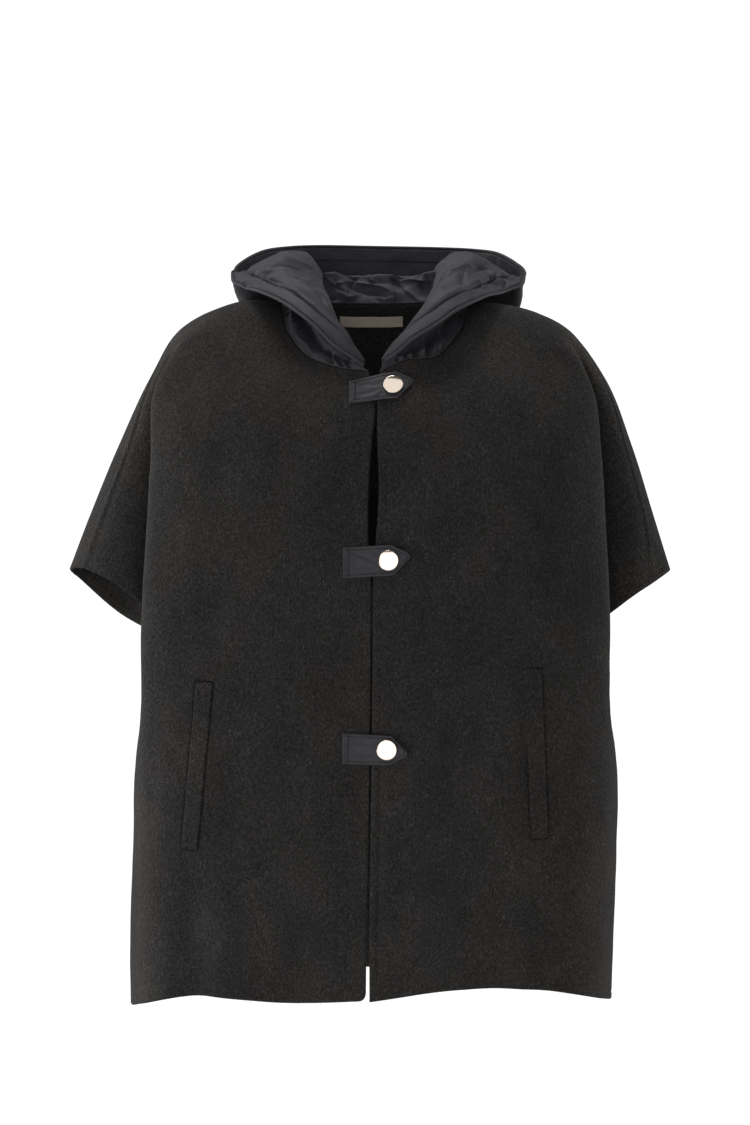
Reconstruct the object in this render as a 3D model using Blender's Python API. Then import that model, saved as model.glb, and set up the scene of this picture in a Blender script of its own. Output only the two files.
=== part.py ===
"""Hooded poncho: boxy wool body with short sleeves cut in one, folded-down nylon hood, tabs and snaps.

Origin: the middle of the neck opening at shoulder height. +Z is up, the front faces -Y, and the wearer's
right side is -X. Tables are in millimetres; each half's X runs outward from the middle.
"""

import math

import bmesh
import bpy
import numpy as np

MM = 0.001

# Driving sizes, millimetres
WOOL_WALL = 3.0
NYLON_WALL = 1.2
SEAM_HALF_GAP = 0.2
LAID_ON_GAP = 0.5
BAND_WIDTH = 18.0
BAND_WALL = 0.9
WELT_WIDTH = 16.0
WELT_WALL = 2.2
TAB_WALL = 2.2
TAB_SEWN_GAP = 0.5
TAB_SNAP_GAP = 4.2
CAP_RADIUS = 10.5
CAP_HEIGHT = 2.6
STUD_RADIUS = 6.5
SNAP_SEAT_GAP = 0.3
LABEL_WALL = 0.7

# The wool's wall thins to this share near the point where both sleeve seams meet under the arm
UNDERARM_THINNING = 0.35
UNDERARM_THIN_FROM, UNDERARM_THIN_TO = 6.0, 45.0
# The hood's edge rises this far above the wool's cut edge, whose direction is read over a few levels
SEAM_RISE = 0.5
SEAM_READ_DEPTH = 6.0
# A tab is measured straight across the opening between these two places
OPENING_RIGHT, OPENING_LEFT = -6.0, 10.0
# Edges sharper than this stay sharp when the solids are shaded smooth, degrees
SHARP_ANGLE = 45.0

# The cloth is read on two scales: a level counts down from the neck seam to the hem, and a lane counts
# round from the right front edge over the right arm, the back and the left arm to the left front edge.
NECK, UNDERARM, HEM = 0.0, 410.0, 815.0
LEVELS = dict(
    neck=NECK, yoke=25.0, shoulder=75.0, cap=125.0, armhole=180.0, biceps=245.0,
    elbow=320.0, underarm=UNDERARM, waist=550.0, hip=670.0, thigh=760.0, hem=HEM,
)
LANES = dict(
    edge=0.0, chest=90.0, side=170.0, fold=245.0, valley=290.0, arm=330.0, crease=365.0, overarm=395.0,
    back_crease=425.0, back_arm=465.0, back_valley=515.0, back_fold=560.0, blade=650.0, middle=790.0,
)
BODY_LANES = ("edge", "chest", "side", "fold", "valley", "back_fold", "blade", "middle")
MIDDLE_LANE = LANES["middle"]
ROUND = 2 * MIDDLE_LANE
ARM_SPAN = LANES["back_valley"] - LANES["valley"]

# One row per ring, columns in the order of LANES. Below the underarm a ring has no sleeve points, and its
# valley is the side seam.
RIGHT_RINGS = dict(
    neck=((3, -74, -76), (36, -68, -71), (70, -48, -57), (92, -24, -26), (94.5, -15, -15), (96, -8, -7),
          (97, -1, -2), (98, 6, 2), (97, 14, 4), (95, 22, 6), (89, 33, 8), (78, 50, 9), (45, 70, 9),
          (0, 77, 9)),
    yoke=((-2, -85, -98), (45, -82, -93), (88, -64, -72), (115, -34, -22), (118, -24, -10), (120, -14, -1),
          (121, -5, 4), (122, 5, 6.5), (121, 16, 6.5), (119, 28, 5), (113, 44, 2), (100, 64, -2),
          (58, 90, -6), (0, 98, -8)),
    shoulder=((-3.8, -95, -122), (58, -96, -116), (116, -82, -88), (157, -42, -30), (161, -30, -17),
              (163, -19, -9), (165, -8, -4), (166, 4, -3), (165, 17, -4), (162, 33, -9), (154, 56, -20),
              (136, 82, -32), (78, 109, -42), (0, 115, -46)),
    cap=((-0.8, -101, -150), (68, -104, -144), (140, -92, -116), (203, -46, -54), (205, -33, -42),
         (206, -21, -34), (207, -9, -28), (207.5, 4, -27), (207, 18, -28), (204, 36, -34), (196, 60, -48),
         (178, 90, -66), (100, 116, -88), (0, 120, -95)),
    armhole=((2.6, -105, -200), (76, -109, -194), (160, -98, -168), (231, -50, -98), (221, -24, -92),
             (231, -22, -86), (238, -12, -83), (241, 4, -81), (239, 20, -84), (233, 38, -92), (220, 56, -104),
             (226, 88, -118), (125, 118, -150), (0, 122, -165)),
    biceps=((2.9, -107, -255), (82, -111, -250), (170, -101, -228), (234, -52, -165), (214, -14, -162),
            (244, -22, -158), (262, -14, -155), (273, 5, -150), (270, 26, -156), (252, 44, -168),
            (214, 50, -178), (231, 88, -182), (135, 119, -215), (0, 123, -228)),
    elbow=((-0.2, -108, -300), (86, -112, -298), (175, -102, -285), (238.5, -54, -240), (209, -4, -245),
           (258, -28, -236), (288, -18, -226), (302, 5, -220), (296, 28, -230), (266, 44, -250),
           (209, 36, -262), (236, 86, -255), (142, 119, -285), (0, 122, -292)),
    underarm=((0, -109, -355), (88, -113, -356), (178, -103, -355), (243, -54, -338), (205, 4.5, -366),
              (262, -34, -308), (308, -20, -284), (327, 6, -285), (318, 28, -295.5), (275, 42, -333.5),
              (205, 11.5, -366), (240, 76, -345), (145, 118, -356), (0, 120, -358)),
    waist=((1.5, -110, -465), (90, -114, -467), (181, -103, -468), (244, -60, -470), (250.3, 2, -472),
           (240, 64, -470), (147, 115, -468), (0, 118, -466)),
    hip=((3, -110, -585), (92, -113, -587), (184, -102, -589), (244, -59, -592), (257.5, 2, -595),
         (243, 63, -592), (149, 113, -588), (0, 116, -585)),
    thigh=((5, -110, -675), (93, -113, -677), (186, -102, -676), (246, -58, -685), (260.5, 2, -692),
           (245, 62, -685), (150, 112, -676), (0, 115, -672)),
    hem=((5.6, -110, -734.5), (93, -113, -735.5), (186, -102, -730.5), (245, -58, -745), (260, 2, -754),
         (245, 62, -745), (150, 112, -733), (0, 115, -730)),
)
LEFT_RINGS = dict(
    neck=((9, -74, -77), (38, -66, -63), (72, -48, -57), (97, -24, -27), (100, -15, -15), (102, -8, -7),
          (103, -1, -2), (103, 6, 1), (102, 14, 3), (99, 22, 5), (92, 33, 7.5), (80, 50, 9), (46, 70, 9),
          (0, 77, 9)),
    yoke=((7, -85, -98), (47, -82, -92), (90, -64, -72), (119, -34, -24), (122, -24, -12), (124, -14, -3),
          (125, -5, 1), (126, 5, 3), (125, 16, 3), (122, 28, 2), (116, 44, 0), (102, 64, -3), (59, 90, -6),
          (0, 98, -8)),
    shoulder=((6.1, -95, -122), (60, -96, -116), (118, -82, -88), (160, -42, -32), (164, -30, -18),
              (167, -19, -10), (169, -8, -6), (170, 4, -5), (169, 17, -6), (166, 33, -11), (157, 56, -21),
              (138, 82, -33), (79, 109, -43), (0, 115, -46)),
    cap=((6.3, -101, -150), (70, -104, -144), (144, -92, -116), (208, -46, -56), (211, -33, -43),
         (213, -21, -33), (214, -9, -29), (214.5, 4, -28), (214, 18, -29), (211, 36, -35), (202, 60, -49),
         (182, 90, -67), (102, 116, -88), (0, 120, -95)),
    armhole=((7.8, -105, -200), (78, -109, -194), (164, -98, -168), (236, -50, -96), (228, -24, -92),
             (242, -22, -87), (250, -12, -83), (253.5, 4, -80), (251, 20, -84), (243, 38, -92),
             (227, 56, -104), (231, 88, -118), (127, 118, -150), (0, 122, -165)),
    biceps=((4.6, -107, -255), (84, -111, -250), (174, -101, -228), (244.5, -52, -162), (224, -14, -160),
            (255, -20, -156), (273, -12, -152), (281, 5, -149), (277, 26, -156), (258, 44, -168),
            (219, 50, -178), (238, 88, -182), (138, 119, -215), (0, 123, -228)),
    elbow=((1.6, -108, -300), (88, -112, -298), (179, -102, -285), (248.5, -54, -240), (218, -4, -245),
           (268, -24, -234), (293, -14, -226), (303.5, 5, -221), (298, 28, -230), (270, 44, -250),
           (213, 36, -262), (242, 86, -255), (145, 119, -285), (0, 122, -292)),
    underarm=((1.2, -109, -355), (90, -113, -356), (182, -103, -355), (252.5, -54, -335), (212, 4.5, -366),
              (268, -32, -322), (302, -16, -300), (323.5, 6, -286.5), (315, 28, -293), (280, 42, -318.5),
              (212, 11.5, -366), (246, 76, -345), (148, 118, -356), (0, 120, -358)),
    waist=((0.2, -110, -465), (91, -114, -467), (184, -103, -468), (252, -60, -470), (261.5, 2, -472),
           (247, 64, -470), (150, 115, -468), (0, 118, -466)),
    hip=((-1.2, -110, -585), (92, -113, -586), (186, -102, -587), (251, -59, -590), (264, 2, -593),
         (249, 63, -590), (151, 113, -587), (0, 116, -585)),
    thigh=((-2.2, -110, -675), (92, -113, -672), (186, -102, -672), (248, -58, -680), (261, 2, -686),
           (248, 62, -682), (151, 112, -675), (0, 115, -672)),
    hem=((-2.1, -110, -735.5), (92, -113, -722.5), (185, -102, -725), (246, -58, -739.5), (258.5, 2, -747.5),
         (246, 62, -742), (150, 112, -732), (0, 115, -730)),
)

# A fold deepens over this share of its length. One that ends above HEM_FLOOR fades out over FOLD_END_RUN;
# the others run off the hem. Points farther back than BACK_FROM_Y belong to the back.
FOLD_GROWTH = 0.55
FOLD_END_RUN = 60.0
HEM_FLOOR = -500.0
BACK_FROM_Y = 40.0
# Large soft folds: middle x at top and at bottom, front or back, top z, bottom z, half width, depth (a
# negative depth stands out)
FOLDS = (
    ("right hem trough", -186, -184, "front", -560, -745, 20, 7.0),
    ("right hem swell", -150, -146, "front", -520, -745, 24, -3.0),
    ("left hem trough", 150, 128, "front", -560, -735, 26, 9.0),
    ("left side trough", 190, 178, "front", -500, -740, 20, 5.0),
    ("left hem swell", 218, 214, "front", -560, -740, 20, -3.0),
    ("right chest fall", -150, -168, "front", -110, -330, 26, 4.0),
    ("left chest fall", 146, 170, "front", -105, -340, 28, 4.0),
    ("back middle trough", 22, 10, "back", -330, -730, 26, 6.0),
    ("back right trough", -112, -128, "back", -190, -735, 24, 7.0),
    ("back left trough", 104, 136, "back", -240, -735, 22, 8.0),
)

# Hood profiles: where each starts on the neck seam, then its points from the seam to the face edge. At the
# front the cloth stands up, folds outward and lies down; behind the crest it hangs as a pouch and comes up.
HOOD_STEPS = dict(seam=0.0, rise=20.0, ridge=42.0, fall=75.0, base=115.0, lift=150.0, rim=180.0)
RIM = HOOD_STEPS["rim"]
RIGHT_HOOD = (
    (0, (8, -72, -72), (8, -72, -68.5), (8.5, -74, -67.5), (9, -76, -68), (9.5, -77, -69.5),
     (10, -77.5, -71)),
    (65, (22, -69, -63), (18, -63.5, -53), (20, -69, -49.5), (22, -74, -51), (24, -78, -55),
     (25.6, -80, -60)),
    (108, (38, -63, -54), (27, -59, -38), (28, -64, -34.5), (30, -70, -36), (36, -76, -41.5),
     (42.4, -80, -48.4)),
    (150, (52, -56, -44), (37, -47, -26), (40, -54, -20.5), (45, -62, -21), (53, -70, -25),
     (61.5, -76, -29.2)),
    (190, (63, -42, -28), (43, -33, -10), (52, -42, -3), (62, -51, -4), (70.5, -60, -9.5),
     (78.6, -66, -14.6)),
    (222, (70, -26, -12), (48, -19, 3), (63, -27, 12), (79.4, -37, 11.5), (88, -46, 4.5), (96, -52, -1.7)),
    (262, (75, -10, 0), (51.5, -6, 15), (75, -12, 25), (99, -21, 19.5), (108, -29, 13.5),
     (115.8, -34, 8.6)),
    (330, (77, 2, 12), (54, 7, 24), (88, 2, 40), (121, -6, 27), (126, -10, 20.5), (129.5, -14, 14.8)),
    (385, (78, 12, 18), (56, 18, 37), (93, 15, 54), (133, 7, 30), (138, 5, 24.5), (140, 4, 19.8)),
    (425, (80, 23, 28), (67, 30, 53), (88, 31, 62.5), (118, 30, 51), (141, 27, 36), (154, 24, 41)),
    (500, (81, 42, 30), (73, 45, 51), (92, 60, 36), (134, 74, 6), (153, 76, 24), (148, 60, 51)),
    (560, (70, 58, 30), (60, 62, 43), (74, 90, 20), (104, 122, -34), (128, 134, 10), (128, 105, 69.3)),
    (650, (40, 78, 30), (34, 82, 43), (42, 106, 18), (60, 142, -84), (84, 170, -18), (93.7, 148, 81)),
    (720, (20, 83, 30), (16, 86, 42), (20, 112, 18), (30, 150, -102), (46, 178, -36), (56, 166, 84.3)),
)
LEFT_HOOD = (
    (0, (11, -73, -72), (12, -72, -66), (13, -74, -64.5), (14, -76, -65), (15, -77.5, -66), (16, -78, -67)),
    (65, (29, -68, -55), (27, -64, -45), (28, -68, -42.5), (29.5, -73, -44), (31, -77, -48.5),
     (32.2, -80, -54.7)),
    (108, (42, -60, -50), (38, -56, -33), (39, -62, -29), (41, -70, -31.5), (43.5, -76, -36),
     (45.8, -80, -43.2)),
    (150, (60, -50, -36), (57, -44, -8), (59, -52, -3.5), (63, -60, -6.5), (67, -69, -16),
     (71.2, -76, -27.1)),
    (190, (76, -40, -26), (64, -33, 4), (70, -42, 11), (80, -52, 5.5), (85.5, -61, -4), (90.4, -68, -12.7)),
    (222, (82, -25, -10), (67, -19, 15), (80, -27, 22), (97, -38, 13.5), (103, -47, 4.5),
     (107.7, -54, -2.9)),
    (262, (85, -10, 2), (69.5, -6, 25), (92, -12, 33), (114, -23, 16), (119, -30, 10), (123.3, -36, 5.2)),
    (330, (86, 3, 14), (71, 8, 36), (100, 4, 46), (128, -7, 22), (133, -12, 15.5), (137, -16, 10.3)),
    (385, (87, 12, 22), (72, 18, 44), (108, 14, 54), (141, 7, 30), (147, 5, 22), (150.8, 2, 16.4)),
    (425, (90, 22, 32), (84, 30, 54), (104, 31, 60), (134, 30, 46), (158, 27, 32), (169, 22, 38)),
    (500, (90, 42, 28), (84, 44, 48), (100, 62, 34), (158, 75, 4), (167, 76, 24), (165, 60, 49.6)),
    (560, (74, 58, 30), (64, 62, 42), (78, 92, 20), (108, 124, -36), (142, 134, 8), (146.9, 105, 67)),
    (650, (42, 78, 30), (38, 82, 43), (44, 106, 18), (62, 142, -86), (98, 168, -20), (118, 145, 77.5)),
    (720, (20, 83, 30), (18, 86, 42), (22, 112, 18), (32, 150, -103), (52, 178, -38), (74, 165, 81.8)),
)
MIDDLE_HOOD = (MIDDLE_LANE, (0, 85, 29), (0, 88, 40), (0, 116, 14), (0, 152, -106), (0, 182, -40),
               (0, 172, 84))
PANEL_SEAM_LANE = 705.0
# Rows of the hood's panels: shares of the way up to the ridge, and of the way from the ridge to the band
RISE_SHARES = (0.0, 0.18, 0.36, 0.54, 0.72, 0.88, 1.0)
FALL_SHARES = (0.1, 0.26, 0.42, 0.52, 0.6, 0.72, 0.86, 1.0)
BAND_SHARES = (0.5, 1.0)
# Where the band's width is measured from the rim, along the cloth: from this far behind the ridge, in steps
BAND_READ_FROM = HOOD_STEPS["ridge"] + 6.0
BAND_READ_COUNT = 120

# Gathers above the front neck seam: lanes where they start and end, how many, how deep, the places up the
# hood where they begin, are full, start to fade and are gone, and how unevenly they are spaced and sized
GATHERS = dict(
    start=52.0, end=330.0, count=7, depth=2.2, begin=2.0, full=14.0, fade=24.0, gone=40.0,
    spacing_change=0.14, spacing_turns=9.0, size_change=0.2, size_turns=23.0,
)

# Tabs: left end x, top z and bottom z there; the two shoulders; the tip; the snap's middle
TABS = dict(
    top=((-23.2, -87.5, -111.5), (25.9, -79.2), (27.5, -108.0), (43.5, -89.5), (23.0, -94.5)),
    middle=((-29.4, -262.2, -294.1), (20.8, -259.5), (23.5, -291.1), (40.7, -271.5), (18.3, -275.7)),
    bottom=((-30.0, -455.2, -487.4), (20.6, -457.6), (18.5, -488.0), (37.6, -476.2), (16.4, -472.3)),
)
# Along a tab: shares of its length where its rows lie, where its shoulders are, and how blunt its tip is
TAB_SHARES = (0.0, 0.15, 0.3, 0.45, 0.58, 0.7, 0.8, 0.9, 1.0)
TAB_SHOULDER = 0.7
TAB_TIP_HALF_HEIGHT = 1.6
TAB_COLUMNS = 5
# A tab starts to lift this far past its sewn end and is at full height this far before its snap
TAB_LIFT_INSET = 8.0
# A cap's profile: how far in from its radius, and how far above its seat, from its rim to its crown
CAP_PROFILE = ((0.6, 0.0), (0.0, 0.7), (0.5, 1.7), (1.9, 2.2), (5.25, 2.55))
STUD_TAPER = 1.2
CAP_SEGMENTS = 28
STUD_SEGMENTS = 16
SEAT_READINGS = 12
# Slanted pockets: x and z at the top and at the bottom of the welt's middle line
WELTS = dict(
    right=((-172.9, -402.2), (-189.3, -575.8)),
    left=((168.5, -388.1), (175.3, -563.3)),
)
WELT_ROWS = 9
# The bare label inside the back neck: its top and bottom levels, and its end lane
LABEL_LEVELS = (16.0, 32.0)
LABEL_LANE = 705.0

# Points read on each front's body, across and down, above and below the underarm
PATCH_ACROSS, PATCH_UPPER, PATCH_LOWER = 90, 120, 110
# A point is carried at most this share of a step past the nearest one read
PATCH_REACH = 0.6

WOOL_COLOUR = (0.012, 0.012, 0.0115, 1.0)
NYLON_COLOUR = (0.045, 0.043, 0.052, 1.0)
GOLD_COLOUR = (0.86, 0.74, 0.6, 1.0)
TAPE_COLOUR = (0.3, 0.26, 0.19, 1.0)


def clear_objects():
    """Take away what the file holds."""
    for thing in list(bpy.data.objects):
        bpy.data.objects.remove(thing, do_unlink=True)


def make_material(name, colour, roughness, metallic=0.0):
    """A plain Principled material."""
    material = bpy.data.materials.new(name)
    material.use_nodes = True
    shader = material.node_tree.nodes["Principled BSDF"]
    shader.inputs["Base Color"].default_value = colour
    shader.inputs["Roughness"].default_value = roughness
    shader.inputs["Metallic"].default_value = metallic
    material.diffuse_color = colour
    return material


def spline_weights(knots, places):
    """Weights that read a smooth curve through values at the knots: one row per place."""
    knots = np.asarray(knots, float)
    last = len(knots) - 1
    slopes = np.zeros((len(knots), len(knots)))
    slopes[0, :2] = np.array((-1.0, 1.0)) / (knots[1] - knots[0])
    slopes[last, -2:] = np.array((-1.0, 1.0)) / (knots[last] - knots[last - 1])
    for i in range(1, last):
        before = knots[i] - knots[i - 1]
        after = knots[i + 1] - knots[i]
        slopes[i, i - 1] = -after / (before * (before + after))
        slopes[i, i] = (after - before) / (before * after)
        slopes[i, i + 1] = before / (after * (before + after))
    places = np.clip(np.asarray(places, float), knots[0], knots[last])
    k = np.clip(np.searchsorted(knots, places, side="right") - 1, 0, last - 1)
    step = knots[k + 1] - knots[k]
    t = (places - knots[k]) / step
    rows = np.arange(len(places))
    weights = slopes[k] * (step * (t**3 - 2 * t**2 + t))[:, None]
    weights += slopes[k + 1] * (step * (t**3 - t**2))[:, None]
    weights[rows, k] += 2 * t**3 - 3 * t**2 + 1
    weights[rows, k + 1] += 3 * t**2 - 2 * t**3
    return weights


def smooth_step(low, high, value):
    """0 below low, 1 above high, smooth between. low may be above high."""
    t = np.clip((value - low) / (high - low), 0.0, 1.0)
    return t * t * (3 - 2 * t)


def unit(vectors):
    """Vectors scaled to length 1."""
    lengths = np.linalg.norm(vectors, axis=-1, keepdims=True)
    return vectors / np.maximum(lengths, 1e-9)


def lane_columns():
    """Each lane round the whole garment: its place, half, name and half's sign, right edge to left edge."""
    names = list(LANES)
    right = [(LANES[name], RIGHT_RINGS, name, -1.0) for name in names]
    left = [(ROUND - LANES[name], LEFT_RINGS, name, 1.0) for name in reversed(names[:-1])]
    return right + left


COLUMNS = lane_columns()


def column_curve(rings, name, sign, levels):
    """Points down one lane at the levels."""
    knots = []
    points = []
    for ring, level in LEVELS.items():
        below = level > UNDERARM
        order = BODY_LANES if below else tuple(LANES)
        place = "valley" if below and name == "back_valley" else name
        if place not in order:
            continue
        x, y, z = rings[ring][order.index(place)]
        knots.append(level)
        points.append((sign * x, y, z))
    return spline_weights(knots, levels) @ np.array(points, float)


def lower_lane(lane):
    """A lane's place below the underarm, where the ring has no sleeve."""
    if lane <= LANES["valley"]:
        return lane
    if lane <= ROUND - LANES["back_valley"]:
        return lane - ARM_SPAN
    return lane - 2 * ARM_SPAN


def ring_points(levels, lanes, lower):
    """Outer points [level, lane] of the plain cloth, before its folds. Lower rings take lower lanes."""
    kept = [column for column in COLUMNS if not lower or column[2] in BODY_LANES]
    curves = np.stack([column_curve(c[1], c[2], c[3], levels) for c in kept], axis=1)
    knots = [lower_lane(column[0]) if lower else column[0] for column in kept]
    weights = spline_weights(knots, lanes)
    return np.einsum("mk,nkc->nmc", weights, curves)


def fold_depth(points):
    """How far inward the named folds push each plain point."""
    depth = np.zeros(points.shape[:-1])
    for _, x_top, x_bottom, face, z_top, z_bottom, half_width, deep in FOLDS:
        x, y, z = points[..., 0], points[..., 1], points[..., 2]
        along = np.clip((z_top - z) / (z_top - z_bottom), 0.0, 1.0)
        middle = x_top + (x_bottom - x_top) * along
        shape = np.exp(-(((x - middle) / half_width) ** 2)) * smooth_step(0.0, FOLD_GROWTH, along)
        shape = shape * (y < 0) if face == "front" else shape * (y > BACK_FROM_Y)
        if z_bottom > HEM_FLOOR:
            shape = shape * smooth_step(z_bottom - FOLD_END_RUN, z_bottom, z)
        depth += deep * shape
    return depth


def cloth(levels, lanes, lower):
    """Outer points and outward normals of the wool, both [level, lane], millimetres."""
    levels = np.asarray(levels, float)
    lanes = np.array([lower_lane(lane) if lower else lane for lane in lanes], float)
    last_lane = lower_lane(ROUND) if lower else ROUND
    low_end, high_end = (UNDERARM, HEM) if lower else (NECK, UNDERARM)
    down = ring_points(np.minimum(levels + 1, high_end), lanes, lower) - ring_points(
        np.maximum(levels - 1, low_end), lanes, lower
    )
    ahead = ring_points(levels, np.minimum(lanes + 1, last_lane), lower)
    behind = ring_points(levels, np.maximum(lanes - 1, 0), lower)
    plain = ring_points(levels, lanes, lower)
    normals = unit(np.cross(ahead - behind, down))
    points = plain - normals * fold_depth(plain)[..., None]
    return points, normals


def finish_solid(name, shaper, material):
    """Turn the faces outward and put the solid in the file."""
    if shaper.calc_volume(signed=True) < 0:
        bmesh.ops.reverse_faces(shaper, faces=shaper.faces[:])
    mesh = bpy.data.meshes.new(name)
    shaper.to_mesh(mesh)
    shaper.free()
    mesh.shade_smooth()
    mesh.set_sharp_from_angle(angle=math.radians(SHARP_ANGLE))
    mesh.materials.append(material)
    solid = bpy.data.objects.new(name, mesh)
    bpy.context.collection.objects.link(solid)
    return solid


def solid_from_grid(name, outer, inner, cells, material):
    """One closed wall between two point grids, over the cells that are kept."""
    shaper = bmesh.new()
    corners = {}

    def corner(side, row, column):
        key = (side, row, column)
        if key not in corners:
            grid = inner if side else outer
            corners[key] = shaper.verts.new([float(value) * MM for value in grid[row, column]])
        return corners[key]

    rows, columns = cells.shape
    for row in range(rows):
        for column in range(columns):
            if not cells[row, column]:
                continue
            loop = ((row, column), (row, column + 1), (row + 1, column + 1), (row + 1, column))
            for half in ((loop[0], loop[1], loop[2]), (loop[0], loop[2], loop[3])):
                shaper.faces.new([corner(0, *place) for place in half])
                shaper.faces.new([corner(1, *place) for place in reversed(half)])
            neighbours = ((row - 1, column), (row, column + 1), (row + 1, column), (row, column - 1))
            for i, (beside_row, beside_column) in enumerate(neighbours):
                inside = 0 <= beside_row < rows and 0 <= beside_column < columns
                if inside and cells[beside_row, beside_column]:
                    continue
                start, end = loop[i], loop[(i + 1) % 4]
                shaper.faces.new([corner(0, *end), corner(0, *start), corner(1, *start), corner(1, *end)])
    return finish_solid(name, shaper, material)


def steps(stops):
    """Places from (start, end, parts) runs, joined end to end."""
    places = [stops[0][0]]
    for start, end, parts in stops:
        places += [start + (end - start) * (i + 1) / parts for i in range(parts)]
    return np.array(places)


# Rows and columns of the wool panels: runs of (start, end, parts). They are closer at the underarm.
UPPER_LEVELS = steps((
    (NECK, LABEL_LEVELS[0], 1),
    (*LABEL_LEVELS, 1),
    (LABEL_LEVELS[1], LEVELS["shoulder"], 2),
    (LEVELS["shoulder"], LEVELS["armhole"], 5),
    (LEVELS["armhole"], UNDERARM, 8),
))
LOWER_LEVELS = steps(((UNDERARM, LEVELS["waist"], 4), (LEVELS["waist"], HEM, 6)))
FRONT_BODY = steps(((LANES["edge"], LANES["fold"], 8), (LANES["fold"], LANES["valley"], 5)))
NEAR_VALLEY = 15.0
FRONT_ARM = steps((
    (LANES["valley"], LANES["valley"] + NEAR_VALLEY, 2),
    (LANES["valley"] + NEAR_VALLEY, LANES["overarm"], 5),
))
BACK_ARM = steps((
    (LANES["overarm"], LANES["back_valley"] - NEAR_VALLEY, 5),
    (LANES["back_valley"] - NEAR_VALLEY, LANES["back_valley"], 2),
))
LABEL_LANES = steps(((LABEL_LANE, ROUND - LABEL_LANE, 4),))
BACK_HALF = steps(((LANES["back_valley"], LANES["back_fold"], 3), (LANES["back_fold"], LABEL_LANE, 4)))
BACK_BODY = np.concatenate([BACK_HALF[:-1], LABEL_LANES, (ROUND - BACK_HALF)[::-1][1:]])
FRONT_LANES = np.concatenate([FRONT_BODY, FRONT_ARM[1:]])
BACK_LANES = np.concatenate([BACK_ARM, BACK_BODY[1:-1], (ROUND - BACK_ARM)[::-1]])
NECK_LANES = np.concatenate([FRONT_LANES[:-1], BACK_LANES, (ROUND - FRONT_LANES)[::-1][1:]])


def seam_shift(edge, normals, beside):
    """How a seam's points move square to the seam, into their own piece, to leave half the seam's gap."""
    inward = unit(np.cross(normals, np.gradient(edge, axis=0)))
    side = np.sign(np.sum(inward * (beside - edge), axis=1, keepdims=True))
    return inward * side * SEAM_HALF_GAP


def wool_wall(points):
    """The wool's wall at each point, thinner where front and back meet under the arm."""
    walls = np.full(points.shape[:-1], WOOL_WALL)
    for rings, sign in ((RIGHT_RINGS, -1.0), (LEFT_RINGS, 1.0)):
        x, y, z = rings["underarm"][tuple(LANES).index("valley")]
        apart = np.linalg.norm(points - np.array((sign * x, y, z)), axis=-1)
        full = smooth_step(UNDERARM_THIN_FROM, UNDERARM_THIN_TO, apart)
        walls *= UNDERARM_THINNING + (1 - UNDERARM_THINNING) * full
    return walls[..., None]


def wool_panel(name, arms_before, body, arms_after, material):
    """A wool panel over body lanes with sleeve lanes on either side, as one closed wall."""
    lanes = np.concatenate([arms_before[:-1], body, arms_after[1:]])
    first = len(arms_before) - 1 if len(arms_before) else 0
    last = first + len(body) - 1
    upper, upper_normals = cloth(UPPER_LEVELS, lanes, False)
    lower, lower_normals = cloth(LOWER_LEVELS, body, True)
    turn = len(UPPER_LEVELS) - 1
    total = turn + len(LOWER_LEVELS)
    points = np.zeros((total, len(lanes), 3))
    normals = np.zeros_like(points)
    points[: turn + 1], normals[: turn + 1] = upper, upper_normals
    points[turn + 1 :, first : last + 1] = lower[1:]
    normals[turn + 1 :, first : last + 1] = lower_normals[1:]
    seams = []
    if first > 0:
        seams += [(slice(0, turn), 0, 1), (slice(turn, total), first, first + 1)]
    if last < len(lanes) - 1:
        seams += [(slice(0, turn), len(lanes) - 1, len(lanes) - 2), (slice(turn, total), last, last - 1)]
    for rows, column, beside in seams:
        rows = slice(rows.start, rows.stop + 1) if rows.stop == turn else rows
        shift = seam_shift(points[rows, column], normals[rows, column], points[rows, beside])
        points[rows, column] += shift
    cells = np.ones((total - 1, len(lanes) - 1), bool)
    cells[turn:, :first] = False
    cells[turn:, last:] = False
    return solid_from_grid(name, points, points - wool_wall(points) * normals, cells, material)


def hood_columns():
    """Every hood profile round the neck: lane and six points, right end to left end."""
    right = [(row[0], -1.0, row[1:]) for row in RIGHT_HOOD]
    left = [(ROUND - row[0], 1.0, row[1:]) for row in reversed(LEFT_HOOD)]
    return right + [(MIDDLE_HOOD[0], 1.0, MIDDLE_HOOD[1:])] + left


HOOD_COLUMNS = hood_columns()


def neck_seam(lanes):
    """Where the hood's outer face starts: just above the wool's cut edge, in the middle of its wall."""
    points, normals = cloth([NECK, NECK + SEAM_READ_DEPTH], NECK_LANES, False)
    up = unit(points[0] - points[1])
    starts = points[0] - normals[0] * (WOOL_WALL - NYLON_WALL) / 2 + up * SEAM_RISE
    return np.stack([np.interp(lanes, NECK_LANES, starts[:, axis]) for axis in range(3)], axis=1)


def gather_lift(lanes, places):
    """Small folds above the front neck seam, [place, lane], uneven in width and depth."""
    lane = np.minimum(lanes, ROUND - lanes)
    start, end = GATHERS["start"], GATHERS["end"]
    share = np.clip((lane - start) / (end - start), 0.0, 1.0)
    bend = np.sin(GATHERS["spacing_turns"] * share) * share * (1 - share)
    warped = share + GATHERS["spacing_change"] * bend
    size = 1 - GATHERS["size_change"] * (1 - np.sin(GATHERS["size_turns"] * share + 1))
    wave = np.cos(2 * math.pi * GATHERS["count"] * warped) * size
    across = np.sqrt(np.sin(math.pi * share))
    rising = smooth_step(GATHERS["begin"], GATHERS["full"], places)
    fading = smooth_step(GATHERS["gone"], GATHERS["fade"], places)
    return GATHERS["depth"] * (rising * fading)[:, None] * (wave * across)[None, :]


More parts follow.
